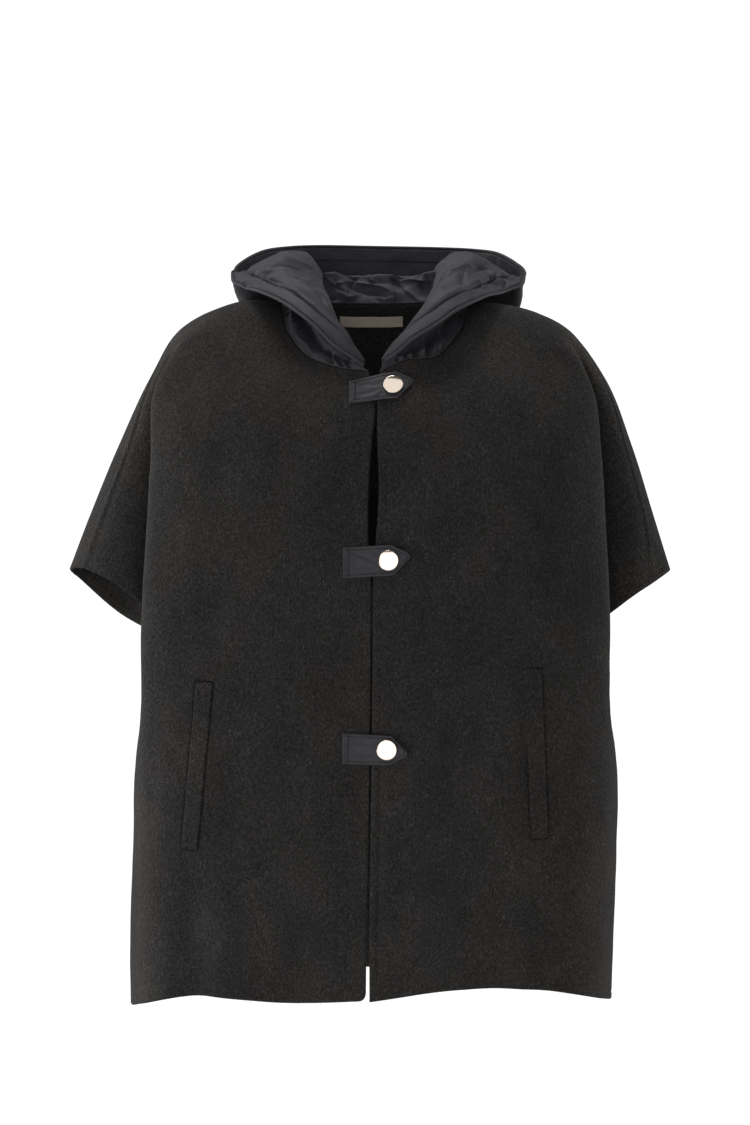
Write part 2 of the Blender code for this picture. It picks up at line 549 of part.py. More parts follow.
def hood_plain(lanes, places):
    """Outer points of the hood cloth without its gathers. places is [lane, place]."""
    lanes = np.asarray(lanes, float)
    seams = neck_seam(lanes)
    knots = [column[0] for column in HOOD_COLUMNS]
    table = np.array([[(sign * x, y, z) for x, y, z in points] for _, sign, points in HOOD_COLUMNS])
    shaped = np.einsum("mk,kpc->mpc", spline_weights(knots, lanes), table)
    whole = np.concatenate([seams[:, None, :], shaped], axis=1)
    out = np.empty((places.shape[0], places.shape[1], 3))
    for i in range(len(lanes)):
        out[i] = spline_weights(list(HOOD_STEPS.values()), places[i]) @ whole[i]
    return out


def hood_cloth(lanes, places):
    """Outer points and outward normals of the hood, [lane, place]."""
    lanes = np.asarray(lanes, float)
    ahead = hood_plain(np.minimum(lanes + 1, ROUND), places)
    behind = hood_plain(np.maximum(lanes - 1, 0), places)
    further = hood_plain(lanes, np.minimum(places + 1, RIM))
    nearer = hood_plain(lanes, np.maximum(places - 1, 0))
    normals = unit(np.cross(further - nearer, ahead - behind))
    points = hood_plain(lanes, places)
    lift = np.stack([gather_lift(lanes[i : i + 1], places[i])[:, 0] for i in range(len(lanes))])
    return points + normals * lift[..., None], normals


def band_place(lanes):
    """For each lane, the place where the band starts, its width in from the rim along the cloth."""
    fine = np.linspace(BAND_READ_FROM, RIM, BAND_READ_COUNT)
    profiles = hood_plain(lanes, np.tile(fine, (len(lanes), 1)))
    lengths = np.linalg.norm(np.diff(profiles, axis=1), axis=2)
    from_rim = np.cumsum(lengths[:, ::-1], axis=1)[:, ::-1]
    return np.array([np.interp(-BAND_WIDTH, -row, fine[:-1]) for row in from_rim])


def hood_grid(lanes):
    """Outer points and normals of the hood with rows that follow the band's inner line, [lane, row]."""
    band = band_place(lanes)[:, None]
    ridge = HOOD_STEPS["ridge"]
    rise_rows = np.tile(ridge * np.array(RISE_SHARES), (len(lanes), 1))
    fall_rows = ridge + (band - ridge) * np.array(FALL_SHARES)
    band_rows = band + (RIM - band) * np.array(BAND_SHARES)
    return hood_cloth(lanes, np.concatenate([rise_rows, fall_rows, band_rows], axis=1))


# Columns of the hood's panels: close over the gathers and the ridge, wider behind
HOOD_SIDE = steps((
    (LANES["edge"], GATHERS["start"], 2),
    (GATHERS["start"], GATHERS["end"], 25),
    (GATHERS["end"], 500, 9),
    (500, PANEL_SEAM_LANE, 5),
))
HOOD_MIDDLE = steps(((PANEL_SEAM_LANE, ROUND - PANEL_SEAM_LANE, 4),))


def hood_panel(name, lanes, seam_at_start, seam_at_end, material):
    """One nylon panel of the hood as a thin closed wall."""
    points, normals = hood_grid(lanes)
    if seam_at_start:
        points[0] += seam_shift(points[0], normals[0], points[1])
    if seam_at_end:
        points[-1] += seam_shift(points[-1], normals[-1], points[-2])
    cells = np.ones((points.shape[0] - 1, points.shape[1] - 1), bool)
    return solid_from_grid(name, points, points - NYLON_WALL * normals, cells, material)


def hood_edge_band(material):
    """The facing along the face edge, on the hood's inner side, from the hood's own points moved out."""
    lanes = np.concatenate([HOOD_SIDE, HOOD_MIDDLE[1:], (ROUND - HOOD_SIDE)[::-1][1:]])
    points, normals = hood_grid(lanes)
    rows = len(BAND_SHARES) + 1
    points, normals = points[:, -rows:], normals[:, -rows:]
    near = points - (NYLON_WALL + LAID_ON_GAP) * normals
    far = near - BAND_WALL * normals
    cells = np.ones((near.shape[0] - 1, rows - 1), bool)
    return solid_from_grid("hood_band", near, far, cells, material)


def front_patch(lane_low, lane_high):
    """Close-set points and normals of one front's body, [level, lane]."""
    lanes = np.linspace(lane_low, lane_high, PATCH_ACROSS)
    upper = cloth(np.linspace(NECK, UNDERARM, PATCH_UPPER), lanes, False)
    lower = cloth(np.linspace(UNDERARM, HEM, PATCH_LOWER + 1)[1:], lanes, True)
    return np.concatenate([upper[0], lower[0]]), np.concatenate([upper[1], lower[1]])


FRONT_PATCHES = (front_patch(0.0, LANES["fold"]), front_patch(ROUND - LANES["fold"], ROUND))


def point_on_cloth(x, z):
    """Point and normal of the front at x and z. Past a front edge, those of the edge."""
    points, normals = FRONT_PATCHES[0 if x < 0 else 1]
    apart = (points[..., 0] - x) ** 2 + (points[..., 2] - z) ** 2
    row, column = np.unravel_index(np.argmin(apart), apart.shape)
    next_row = row + 1 if row + 1 < points.shape[0] else row - 1
    next_column = column + 1 if column + 1 < points.shape[1] else column - 1
    here = points[row, column]
    down = points[next_row, column] - here
    across = points[row, next_column] - here
    steps_xz = np.array([[down[0], across[0]], [down[2], across[2]]])
    shares = np.linalg.solve(steps_xz, (x - here[0], z - here[2]))
    shares = np.clip(shares, -PATCH_REACH, PATCH_REACH)
    return here + shares[0] * down + shares[1] * across, normals[row, column]


def pocket_welt(name, side, material):
    """A slanted strip laid on a front, made from the front's points moved out."""
    (top_x, top_z), (bottom_x, bottom_z) = WELTS[side]
    offsets = (-WELT_WIDTH / 2, 0.0, WELT_WIDTH / 2)
    near = np.zeros((WELT_ROWS, len(offsets), 3))
    normals = np.zeros_like(near)
    for row in range(WELT_ROWS):
        share = row / (WELT_ROWS - 1)
        x = top_x + (bottom_x - top_x) * share
        z = top_z + (bottom_z - top_z) * share
        for column, offset in enumerate(offsets):
            point, normal = point_on_cloth(x + offset, z)
            near[row, column] = point + LAID_ON_GAP * normal
            normals[row, column] = normal
    cells = np.ones((WELT_ROWS - 1, len(offsets) - 1), bool)
    return solid_from_grid(name, near + WELT_WALL * normals, near, cells, material)


def tab_rows(tab):
    """Upper and lower outline points of a tab at shares along its length, from its sewn end."""
    (end_x, end_top, end_bottom), upper, lower, (tip_x, tip_z), _ = tab
    places = (0.0, TAB_SHOULDER, 1.0)
    tops = ((end_x, end_top), upper, (tip_x, tip_z + TAB_TIP_HALF_HEIGHT))
    bottoms = ((end_x, end_bottom), lower, (tip_x, tip_z - TAB_TIP_HALF_HEIGHT))
    outline = []
    for line in (tops, bottoms):
        x_line, z_line = zip(*line)
        xs = np.interp(TAB_SHARES, places, x_line)
        zs = np.interp(TAB_SHARES, places, z_line)
        outline.append(np.stack([xs, zs], axis=1))
    return outline


def front_point(x, z):
    """The fronts' outer point at x and z, straight across the opening between them."""
    right = point_on_cloth(min(x, OPENING_RIGHT), z)[0]
    left = point_on_cloth(max(x, OPENING_LEFT), z)[0]
    if x <= OPENING_RIGHT:
        return right
    if x >= OPENING_LEFT:
        return left
    share = (x - OPENING_RIGHT) / (OPENING_LEFT - OPENING_RIGHT)
    return right + (left - right) * share


def tab_facing(tab):
    """The way a tab faces: square to the fronts round its snap."""
    x, z = tab[4]
    reach = STUD_RADIUS
    across = front_point(x + reach, z) - front_point(x - reach, z)
    up = front_point(x, z + reach) - front_point(x, z - reach)
    return unit(np.cross(across, up))


def tab_back(x, z, tab, facing):
    """The tab's hidden face at x and z: close to the front at its sewn end, clear of it at the snap."""
    lift = smooth_step(tab[0][0] + TAB_LIFT_INSET, tab[4][0] - TAB_LIFT_INSET, x)
    return front_point(x, z) + facing * (TAB_SEWN_GAP + (TAB_SNAP_GAP - TAB_SEWN_GAP) * lift)


def front_tab(name, tab, material):
    """A doubled nylon tab with a pointed end, lying over the opening."""
    tops, bottoms = tab_rows(tab)
    facing = tab_facing(tab)
    back = np.zeros((len(tops), TAB_COLUMNS, 3))
    for row in range(len(tops)):
        for column in range(TAB_COLUMNS):
            x, z = tops[row] + (bottoms[row] - tops[row]) * column / (TAB_COLUMNS - 1)
            back[row, column] = tab_back(x, z, tab, facing)
    cells = np.ones((len(tops) - 1, TAB_COLUMNS - 1), bool)
    return solid_from_grid(name, back + TAB_WALL * facing, back, cells, material)


def turned(name, centre, axis, profile, segments, material):
    """A turned solid about an axis through centre. profile is (radius, height), from axis to axis."""
    across = unit(np.cross(axis, (0.0, 0.0, 1.0)))
    up = np.cross(across, axis)
    shaper = bmesh.new()
    rings = []
    for radius, height in profile:
        middle = centre + axis * height
        angles = [2 * math.pi * i / segments for i in range(segments)] if radius else [0.0]
        spots = [middle + radius * (across * math.cos(a) + up * math.sin(a)) for a in angles]
        rings.append([shaper.verts.new([float(value) * MM for value in spot]) for spot in spots])
    for first, second in zip(rings, rings[1:]):
        for i in range(segments):
            j = (i + 1) % segments
            if len(first) == 1:
                shaper.faces.new((first[0], second[j], second[i]))
            elif len(second) == 1:
                shaper.faces.new((first[i], first[j], second[0]))
            else:
                shaper.faces.new((first[i], first[j], second[j], second[i]))
    return finish_solid(name, shaper, material)


def snap(place, tab, material):
    """The cap on a tab and the stud between the tab and the left front."""
    x, z = tab[4]
    facing = tab_facing(tab)
    centre = front_point(x, z)
    turns = [2 * math.pi * i / SEAT_READINGS for i in range(SEAT_READINGS)]

    def heights(radius, surface):
        spots = [(x + radius * math.cos(turn), z + radius * math.sin(turn)) for turn in turns]
        return [float(np.dot(surface(*spot) - centre, facing)) for spot in spots + [(x, z)]]

    def behind_tab(spot_x, spot_z):
        return tab_back(spot_x, spot_z, tab, facing)

    low = max(heights(STUD_RADIUS, front_point)) + SNAP_SEAT_GAP
    high = min(heights(STUD_RADIUS, behind_tab)) - SNAP_SEAT_GAP
    middle = (low + high) / 2
    stud = ((0, low), (STUD_RADIUS, low), (STUD_RADIUS, middle), (STUD_RADIUS - STUD_TAPER, high), (0, high))
    turned(f"snap_stud_{place}", centre, facing, stud, STUD_SEGMENTS, material)
    seat = max(heights(CAP_RADIUS, behind_tab)) + TAB_WALL + SNAP_SEAT_GAP
    dome = [(CAP_RADIUS - inset, seat + height) for inset, height in CAP_PROFILE]
    cap = [(0, seat)] + dome + [(0, seat + CAP_HEIGHT)]
    turned(f"snap_cap_{place}", centre, facing, cap, CAP_SEGMENTS, material)


def neck_label(material):
    """A bare label inside the back neck, made from the back's points moved inward."""
    points, normals = cloth(LABEL_LEVELS, LABEL_LANES, False)
    near = points - (WOOL_WALL + LAID_ON_GAP) * normals
    far = near - LABEL_WALL * normals
    cells = np.ones((1, len(LABEL_LANES) - 1), bool)
    return solid_from_grid("label", near, far, cells, material)


def build():
    """Make every piece."""
    clear_objects()
    wool = make_material("wool", WOOL_COLOUR, 0.95)
    nylon = make_material("nylon", NYLON_COLOUR, 0.6)
    gold = make_material("pale_gold", GOLD_COLOUR, 0.12, 1.0)
    tape = make_material("tape", TAPE_COLOUR, 0.85)

    nothing = np.array([])
    wool_panel("front_right", nothing, FRONT_BODY, FRONT_ARM, wool)
    wool_panel("front_left", (ROUND - FRONT_ARM)[::-1], (ROUND - FRONT_BODY)[::-1], nothing, wool)
    wool_panel("back", BACK_ARM, BACK_BODY, (ROUND - BACK_ARM)[::-1], wool)

    hood_panel("hood_right", HOOD_SIDE, False, True, nylon)
    hood_panel("hood_centre", HOOD_MIDDLE, True, True, nylon)
    hood_panel("hood_left", (ROUND - HOOD_SIDE)[::-1], True, False, nylon)
    hood_edge_band(nylon)

    pocket_welt("pocket_welt_right", "right", wool)
    pocket_welt("pocket_welt_left", "left", wool)
    for place, tab in TABS.items():
        front_tab(f"tab_{place}", tab, nylon)
        snap(place, tab, gold)
    neck_label(tape)


build()
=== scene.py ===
"""Looks of the hooded poncho: brushed wool body, crisp nylon hood, snapped tabs, welts and a bare label.

The cloth is worked out from the same rings, folds and hood profiles as its solids, on finer grids, in
millimetres. Lanes count round the garment from the right front edge to the left one, and levels count down
from the neck seam to the hem. Right and left are the wearer's; the front faces -Y.
"""

import logging
import math
from dataclasses import dataclass, field
from enum import Enum

import bpy
import numpy as np
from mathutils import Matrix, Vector, noise


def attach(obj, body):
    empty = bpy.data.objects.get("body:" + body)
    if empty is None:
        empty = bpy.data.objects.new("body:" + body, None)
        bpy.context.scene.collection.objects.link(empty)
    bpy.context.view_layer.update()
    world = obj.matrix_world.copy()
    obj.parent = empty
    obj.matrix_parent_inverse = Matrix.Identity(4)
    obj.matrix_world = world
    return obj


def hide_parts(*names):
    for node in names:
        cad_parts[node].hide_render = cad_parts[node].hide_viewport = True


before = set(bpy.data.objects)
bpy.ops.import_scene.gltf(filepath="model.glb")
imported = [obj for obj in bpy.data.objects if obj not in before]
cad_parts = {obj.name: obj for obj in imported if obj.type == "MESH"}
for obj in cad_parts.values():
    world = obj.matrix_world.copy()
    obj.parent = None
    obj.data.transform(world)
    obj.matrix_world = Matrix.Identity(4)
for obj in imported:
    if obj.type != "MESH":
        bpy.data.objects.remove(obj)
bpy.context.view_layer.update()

LOG = logging.getLogger("poncho")
MM = 0.001
Array = np.ndarray
ArrayPair = tuple[Array, Array]
Material, Piece, Socket = bpy.types.Material, bpy.types.Object, bpy.types.NodeSocket
Pair = tuple[float, float]
Span = tuple[Pair, Pair]
Point = tuple[float, float, float]
Table = dict[str, tuple[Point, ...]]


# ---- Sizes and tables, millimetres ----

LEVELS = dict(
    neck=0.0, yoke=25.0, shoulder=75.0, cap=125.0, armhole=180.0, biceps=245.0,
    elbow=320.0, underarm=410.0, waist=550.0, hip=670.0, thigh=760.0, hem=815.0,
)
LANES = dict(
    edge=0.0, chest=90.0, side=170.0, fold=245.0, valley=290.0, arm=330.0, crease=365.0, overarm=395.0,
    back_crease=425.0, back_arm=465.0, back_valley=515.0, back_fold=560.0, blade=650.0, middle=790.0,
)
BODY_LANES = ("edge", "chest", "side", "fold", "valley", "back_fold", "blade", "middle")
NECK, UNDERARM, HEM = LEVELS["neck"], LEVELS["underarm"], LEVELS["hem"]
MIDDLE_LANE = LANES["middle"]
ROUND = 2 * MIDDLE_LANE
ARM_SPAN = LANES["back_valley"] - LANES["valley"]

RIGHT_RINGS: Table = dict(
    neck=((3, -74, -76), (36, -68, -71), (70, -48, -57), (92, -24, -26), (94.5, -15, -15), (96, -8, -7),
        (97, -1, -2), (98, 6, 2), (97, 14, 4), (95, 22, 6), (89, 33, 8), (78, 50, 9), (45, 70, 9),
        (0, 77, 9)),
    yoke=((-2, -85, -98), (45, -82, -93), (88, -64, -72), (115, -34, -22), (118, -24, -10), (120, -14, -1),
        (121, -5, 4), (122, 5, 6.5), (121, 16, 6.5), (119, 28, 5), (113, 44, 2), (100, 64, -2), (58, 90, -6),
        (0, 98, -8)),
    shoulder=((-3.8, -95, -122), (58, -96, -116), (116, -82, -88), (157, -42, -30), (161, -30, -17),
        (163, -19, -9), (165, -8, -4), (166, 4, -3), (165, 17, -4), (162, 33, -9), (154, 56, -20),
        (136, 82, -32), (78, 109, -42), (0, 115, -46)),
    cap=((-0.8, -101, -150), (68, -104, -144), (140, -92, -116), (203, -46, -54), (205, -33, -42),
        (206, -21, -34), (207, -9, -28), (207.5, 4, -27), (207, 18, -28), (204, 36, -34), (196, 60, -48),
        (178, 90, -66), (100, 116, -88), (0, 120, -95)),
    armhole=((2.6, -105, -200), (76, -109, -194), (160, -98, -168), (231, -50, -98), (221, -24, -92),
        (231, -22, -86), (238, -12, -83), (241, 4, -81), (239, 20, -84), (233, 38, -92), (220, 56, -104),
        (226, 88, -118), (125, 118, -150), (0, 122, -165)),
    biceps=((2.9, -107, -255), (82, -111, -250), (170, -101, -228), (234, -52, -165), (214, -14, -162),
        (244, -22, -158), (262, -14, -155), (273, 5, -150), (270, 26, -156), (252, 44, -168), (214, 50, -178),
        (231, 88, -182), (135, 119, -215), (0, 123, -228)),
    elbow=((-0.2, -108, -300), (86, -112, -298), (175, -102, -285), (238.5, -54, -240), (209, -4, -245),
        (258, -28, -236), (288, -18, -226), (302, 5, -220), (296, 28, -230), (266, 44, -250), (209, 36, -262),
        (236, 86, -255), (142, 119, -285), (0, 122, -292)),
    underarm=((0, -109, -355), (88, -113, -356), (178, -103, -355), (243, -54, -338), (205, 4.5, -366),
        (262, -34, -308), (308, -20, -284), (327, 6, -285), (318, 28, -295.5), (275, 42, -333.5),
        (205, 11.5, -366), (240, 76, -345), (145, 118, -356), (0, 120, -358)),
    waist=((1.5, -110, -465), (90, -114, -467), (181, -103, -468), (244, -60, -470), (250.3, 2, -472),
        (240, 64, -470), (147, 115, -468), (0, 118, -466)),
    hip=((3, -110, -585), (92, -113, -587), (184, -102, -589), (244, -59, -592), (257.5, 2, -595),
        (243, 63, -592), (149, 113, -588), (0, 116, -585)),
    thigh=((5, -110, -675), (93, -113, -677), (186, -102, -676), (246, -58, -685), (260.5, 2, -692),
        (245, 62, -685), (150, 112, -676), (0, 115, -672)),
    hem=((5.6, -110, -734.5), (93, -113, -735.5), (186, -102, -730.5), (245, -58, -745), (260, 2, -754),
        (245, 62, -745), (150, 112, -733), (0, 115, -730)),
)
LEFT_RINGS: Table = dict(
    neck=((9, -74, -77), (38, -66, -63), (72, -48, -57), (97, -24, -27), (100, -15, -15), (102, -8, -7),
        (103, -1, -2), (103, 6, 1), (102, 14, 3), (99, 22, 5), (92, 33, 7.5), (80, 50, 9), (46, 70, 9),
        (0, 77, 9)),
    yoke=((7, -85, -98), (47, -82, -92), (90, -64, -72), (119, -34, -24), (122, -24, -12), (124, -14, -3),
        (125, -5, 1), (126, 5, 3), (125, 16, 3), (122, 28, 2), (116, 44, 0), (102, 64, -3), (59, 90, -6),
        (0, 98, -8)),
    shoulder=((6.1, -95, -122), (60, -96, -116), (118, -82, -88), (160, -42, -32), (164, -30, -18),
        (167, -19, -10), (169, -8, -6), (170, 4, -5), (169, 17, -6), (166, 33, -11), (157, 56, -21),
        (138, 82, -33), (79, 109, -43), (0, 115, -46)),
    cap=((6.3, -101, -150), (70, -104, -144), (144, -92, -116), (208, -46, -56), (211, -33, -43),
        (213, -21, -33), (214, -9, -29), (214.5, 4, -28), (214, 18, -29), (211, 36, -35), (202, 60, -49),
        (182, 90, -67), (102, 116, -88), (0, 120, -95)),
    armhole=((7.8, -105, -200), (78, -109, -194), (164, -98, -168), (236, -50, -96), (228, -24, -92),
        (242, -22, -87), (250, -12, -83), (253.5, 4, -80), (251, 20, -84), (243, 38, -92), (227, 56, -104),
        (231, 88, -118), (127, 118, -150), (0, 122, -165)),
    biceps=((4.6, -107, -255), (84, -111, -250), (174, -101, -228), (244.5, -52, -162), (224, -14, -160),
        (255, -20, -156), (273, -12, -152), (281, 5, -149), (277, 26, -156), (258, 44, -168), (219, 50, -178),
        (238, 88, -182), (138, 119, -215), (0, 123, -228)),
    elbow=((1.6, -108, -300), (88, -112, -298), (179, -102, -285), (248.5, -54, -240), (218, -4, -245),
        (268, -24, -234), (293, -14, -226), (303.5, 5, -221), (298, 28, -230), (270, 44, -250),
        (213, 36, -262), (242, 86, -255), (145, 119, -285), (0, 122, -292)),
    underarm=((1.2, -109, -355), (90, -113, -356), (182, -103, -355), (252.5, -54, -335), (212, 4.5, -366),
        (268, -32, -322), (302, -16, -300), (323.5, 6, -286.5), (315, 28, -293), (280, 42, -318.5),
        (212, 11.5, -366), (246, 76, -345), (148, 118, -356), (0, 120, -358)),
    waist=((0.2, -110, -465), (91, -114, -467), (184, -103, -468), (252, -60, -470), (261.5, 2, -472),
        (247, 64, -470), (150, 115, -468), (0, 118, -466)),
    hip=((-1.2, -110, -585), (92, -113, -586), (186, -102, -587), (251, -59, -590), (264, 2, -593),
        (249, 63, -590), (151, 113, -587), (0, 116, -585)),
    thigh=((-2.2, -110, -675), (92, -113, -672), (186, -102, -672), (248, -58, -680), (261, 2, -686),
        (248, 62, -682), (151, 112, -675), (0, 115, -672)),
    hem=((-2.1, -110, -735.5), (92, -113, -722.5), (185, -102, -725), (246, -58, -739.5), (258.5, 2, -747.5),
        (246, 62, -742), (150, 112, -732), (0, 115, -730)),
)

HOOD_STEPS = dict(seam=0.0, rise=20.0, ridge=42.0, fall=75.0, base=115.0, lift=150.0, rim=180.0)
RIDGE, RIM = HOOD_STEPS["ridge"], HOOD_STEPS["rim"]
PANEL_SEAM_LANE = 705.0
PANEL_SEAMS = (PANEL_SEAM_LANE, ROUND - PANEL_SEAM_LANE)
HoodRow = tuple[float, tuple[Point, ...]]
RIGHT_HOOD: tuple[HoodRow, ...] = (
    (0, ((8, -72, -72), (8, -72, -68.5), (8.5, -74, -67.5), (9, -76, -68), (9.5, -77, -69.5),
        (10, -77.5, -71))),
    (65, ((22, -69, -63), (18, -63.5, -53), (20, -69, -49.5), (22, -74, -51), (24, -78, -55),
        (25.6, -80, -60))),
    (108, ((38, -63, -54), (27, -59, -38), (28, -64, -34.5), (30, -70, -36), (36, -76, -41.5),
        (42.4, -80, -48.4))),
    (150, ((52, -56, -44), (37, -47, -26), (40, -54, -20.5), (45, -62, -21), (53, -70, -25),
        (61.5, -76, -29.2))),
    (190, ((63, -42, -28), (43, -33, -10), (52, -42, -3), (62, -51, -4), (70.5, -60, -9.5),
        (78.6, -66, -14.6))),
    (222, ((70, -26, -12), (48, -19, 3), (63, -27, 12), (79.4, -37, 11.5), (88, -46, 4.5), (96, -52, -1.7))),
    (262, ((75, -10, 0), (51.5, -6, 15), (75, -12, 25), (99, -21, 19.5), (108, -29, 13.5),
        (115.8, -34, 8.6))),
    (330, ((77, 2, 12), (54, 7, 24), (88, 2, 40), (121, -6, 27), (126, -10, 20.5), (129.5, -14, 14.8))),
    (385, ((78, 12, 18), (56, 18, 37), (93, 15, 54), (133, 7, 30), (138, 5, 24.5), (140, 4, 19.8))),
    (404, ((79, 17, 23), (61, 24, 45), (90.6, 22.5, 59), (126, 17.5, 41), (140.5, 15, 28.5),
        (150.8, 13, 25.6))),
    (425, ((80, 23, 28), (67, 30, 53), (88, 31, 62.5), (118, 30, 51), (141, 27, 36), (153.2, 24, 36))),
    (462, ((81.7, 32, 30.5), (72.5, 37, 55), (90.4, 44, 53), (125, 49.4, 37.5), (147.5, 47, 32),
        (151.2, 41, 42.5))),
    (500, ((81, 42, 30), (73, 45, 51), (92, 60, 36), (134, 74, 6), (153, 76, 24), (148, 60, 51))),
    (560, ((70, 58, 30), (60, 62, 43), (74, 90, 20), (104, 122, -34), (128, 134, 10), (128, 105, 69.3))),
    (650, ((40, 78, 30), (34, 82, 43), (42, 106, 18), (60, 142, -84), (84, 170, -18), (93.7, 148, 81))),
    (720, ((20, 83, 30), (16, 86, 42), (20, 112, 18), (30, 150, -102), (46, 178, -36), (56, 166, 84.3))),
)
LEFT_HOOD: tuple[HoodRow, ...] = (
    (0, ((11, -73, -72), (12, -72, -66), (13, -74, -64.5), (14, -76, -65), (15, -77.5, -66), (16, -78, -67))),
    (65, ((29, -68, -55), (27, -64, -45), (28, -68, -42.5), (29.5, -73, -44), (31, -77, -48.5),
        (32.2, -80, -54.7))),
    (108, ((42, -60, -50), (38, -56, -33), (39, -62, -29), (41, -70, -31.5), (43.5, -76, -36),
        (45.8, -80, -43.2))),
    (150, ((60, -50, -36), (57, -44, -8), (59, -52, -3.5), (63, -60, -6.5), (67, -69, -16),
        (71.2, -76, -27.1))),
    (190, ((76, -40, -26), (64, -33, 4), (70, -42, 11), (80, -52, 5.5), (85.5, -61, -4), (90.4, -68, -12.7))),
    (222, ((82, -25, -10), (67, -19, 15), (80, -27, 22), (97, -38, 13.5), (103, -47, 4.5),
        (107.7, -54, -2.9))),
    (262, ((85, -10, 2), (69.5, -6, 25), (92, -12, 33), (114, -23, 16), (119, -30, 10), (123.3, -36, 5.2))),
    (330, ((86, 3, 14), (71, 8, 36), (100, 4, 46), (128, -7, 22), (133, -12, 15.5), (137, -16, 10.3))),
    (385, ((87, 12, 22), (72, 18, 44), (108, 14, 54), (141, 7, 30), (147, 5, 22), (150.8, 2, 16.4))),
    (404, ((88.5, 16.5, 27), (78, 24, 49), (106.5, 22, 58), (137.5, 17.5, 39), (153.5, 15, 25.5),
        (164.2, 11.5, 22.4))),
    (425, ((90, 22, 32), (84, 30, 54), (104, 31, 60), (134, 30, 46), (158, 27, 32), (168, 22, 34))),
    (462, ((91.8, 31, 31.7), (87.6, 37, 53), (103.3, 45, 50.5), (147.6, 49.8, 33), (164.5, 47, 30.5),
        (168.2, 40, 42.6))),
    (500, ((90, 42, 28), (84, 44, 48), (100, 62, 34), (158, 75, 4), (167, 76, 24), (165, 60, 49.6))),
    (560, ((74, 58, 30), (64, 62, 42), (78, 92, 20), (108, 124, -36), (142, 134, 8), (146.9, 105, 67))),
    (650, ((42, 78, 30), (38, 82, 43), (44, 106, 18), (62, 142, -86), (98, 168, -20), (118, 145, 77.5))),
    (720, ((20, 83, 30), (18, 86, 42), (22, 112, 18), (32, 150, -103), (52, 178, -38), (74, 165, 81.8))),
)
MIDDLE_HOOD: HoodRow = (
    MIDDLE_LANE, ((0, 85, 29), (0, 88, 40), (0, 116, 14), (0, 152, -106), (0, 182, -40), (0, 172, 84))
)


class Face(Enum):
    """Which side of the garment a fold lies on."""

    FRONT = "front"
    BACK = "back"


@dataclass(frozen=True)
class Fold:
    """A large soft fold: middle x at its top and bottom, its ends, half width and depth inward."""

    x_top: float
    x_bottom: float
    face: Face
    z_top: float
    z_bottom: float
    half_width: float
    depth: float


FOLDS = (
    Fold(-186, -184, Face.FRONT, -560, -745, 20, 7.0),
    Fold(-150, -146, Face.FRONT, -520, -745, 24, -3.0),
    Fold(150, 128, Face.FRONT, -560, -735, 26, 9.0),
    Fold(190, 178, Face.FRONT, -500, -740, 20, 5.0),
    Fold(218, 214, Face.FRONT, -560, -740, 20, -3.0),
    Fold(-150, -168, Face.FRONT, -110, -330, 26, 4.0),
    Fold(146, 170, Face.FRONT, -105, -340, 28, 4.0),
    Fold(22, 10, Face.BACK, -330, -730, 26, 6.0),
    Fold(-112, -128, Face.BACK, -190, -735, 24, 7.0),
    Fold(104, 136, Face.BACK, -240, -735, 22, 8.0),
)
FOLD_GROWTH, FOLD_END_RUN, HEM_FLOOR, BACK_FROM_Y = 0.55, 60.0, -500.0, 40.0


@dataclass(frozen=True)
class Crease:
    """A crease in cloth coordinates: from one lane and level to another."""

    start: Pair
    end: Pair
    width: float
    depth: float


@dataclass(frozen=True)
class HoodFold:
    """A fold of the hood through (lane, place) spots.

    Width and rise are millimetres. A rise above 0 stands out on the hood's outer face, one below 0 on its
    inner face, which is the one that shows on the turned flaps and behind the neck.
    """

    spots: tuple[Pair, ...]
    width: float
    rise: float


# ---- Curves and small helpers ----


def spline_weights(knots: Array, places: Array) -> Array:
    """Weights that read a smooth curve through values at the knots.

    Args:
        knots: Rising places of the values.
        places: Where the curve is read.

    Returns:
        One row of weights per place.
    """
    knots = np.asarray(knots, float)
    last = len(knots) - 1
    slopes = np.zeros((len(knots), len(knots)))
    slopes[0, :2] = np.array((-1.0, 1.0)) / (knots[1] - knots[0])
    slopes[last, -2:] = np.array((-1.0, 1.0)) / (knots[last] - knots[last - 1])
    for i in range(1, last):
        before = knots[i] - knots[i - 1]
        after = knots[i + 1] - knots[i]
        slopes[i, i - 1] = -after / (before * (before + after))
        slopes[i, i] = (after - before) / (before * after)
        slopes[i, i + 1] = before / (after * (before + after))
    places = np.clip(np.asarray(places, float), knots[0], knots[last])
    k = np.clip(np.searchsorted(knots, places, side="right") - 1, 0, last - 1)
    step = knots[k + 1] - knots[k]
    t = (places - knots[k]) / step
    rows = np.arange(len(places))
    weights = slopes[k] * (step * (t**3 - 2 * t**2 + t))[:, None]
    weights += slopes[k + 1] * (step * (t**3 - t**2))[:, None]
    weights[rows, k] += 2 * t**3 - 3 * t**2 + 1
    weights[rows, k + 1] += 3 * t**2 - 2 * t**3
    return weights


def smooth_step(low: float, high: float, value: Array | float) -> Array | float:
    """0 below low, 1 above high, smooth between; low may be above high."""
    t = np.clip((value - low) / (high - low), 0.0, 1.0)
    return t * t * (3 - 2 * t)


def between(rise: Pair, fall: Pair, value: Array) -> Array:
    """1 between two smooth ends, 0 outside them, from where it rises and where it falls."""
    return smooth_step(*rise, value) * smooth_step(*fall, value)


def unit(vectors: Array) -> Array:
    """Vectors scaled to length 1."""
    return vectors / np.maximum(np.linalg.norm(vectors, axis=-1, keepdims=True), 1e-9)


def runs(*stops: tuple[float, float, float]) -> Array:
    """Places from (start, end, step) runs joined end to end, each cut into even parts."""
    places = [stops[0][0]]
    for start, end, step in stops:
        parts = max(1, round(abs(end - start) / step))
        places += [start + (end - start) * (i + 1) / parts for i in range(parts)]
    return np.array(places)


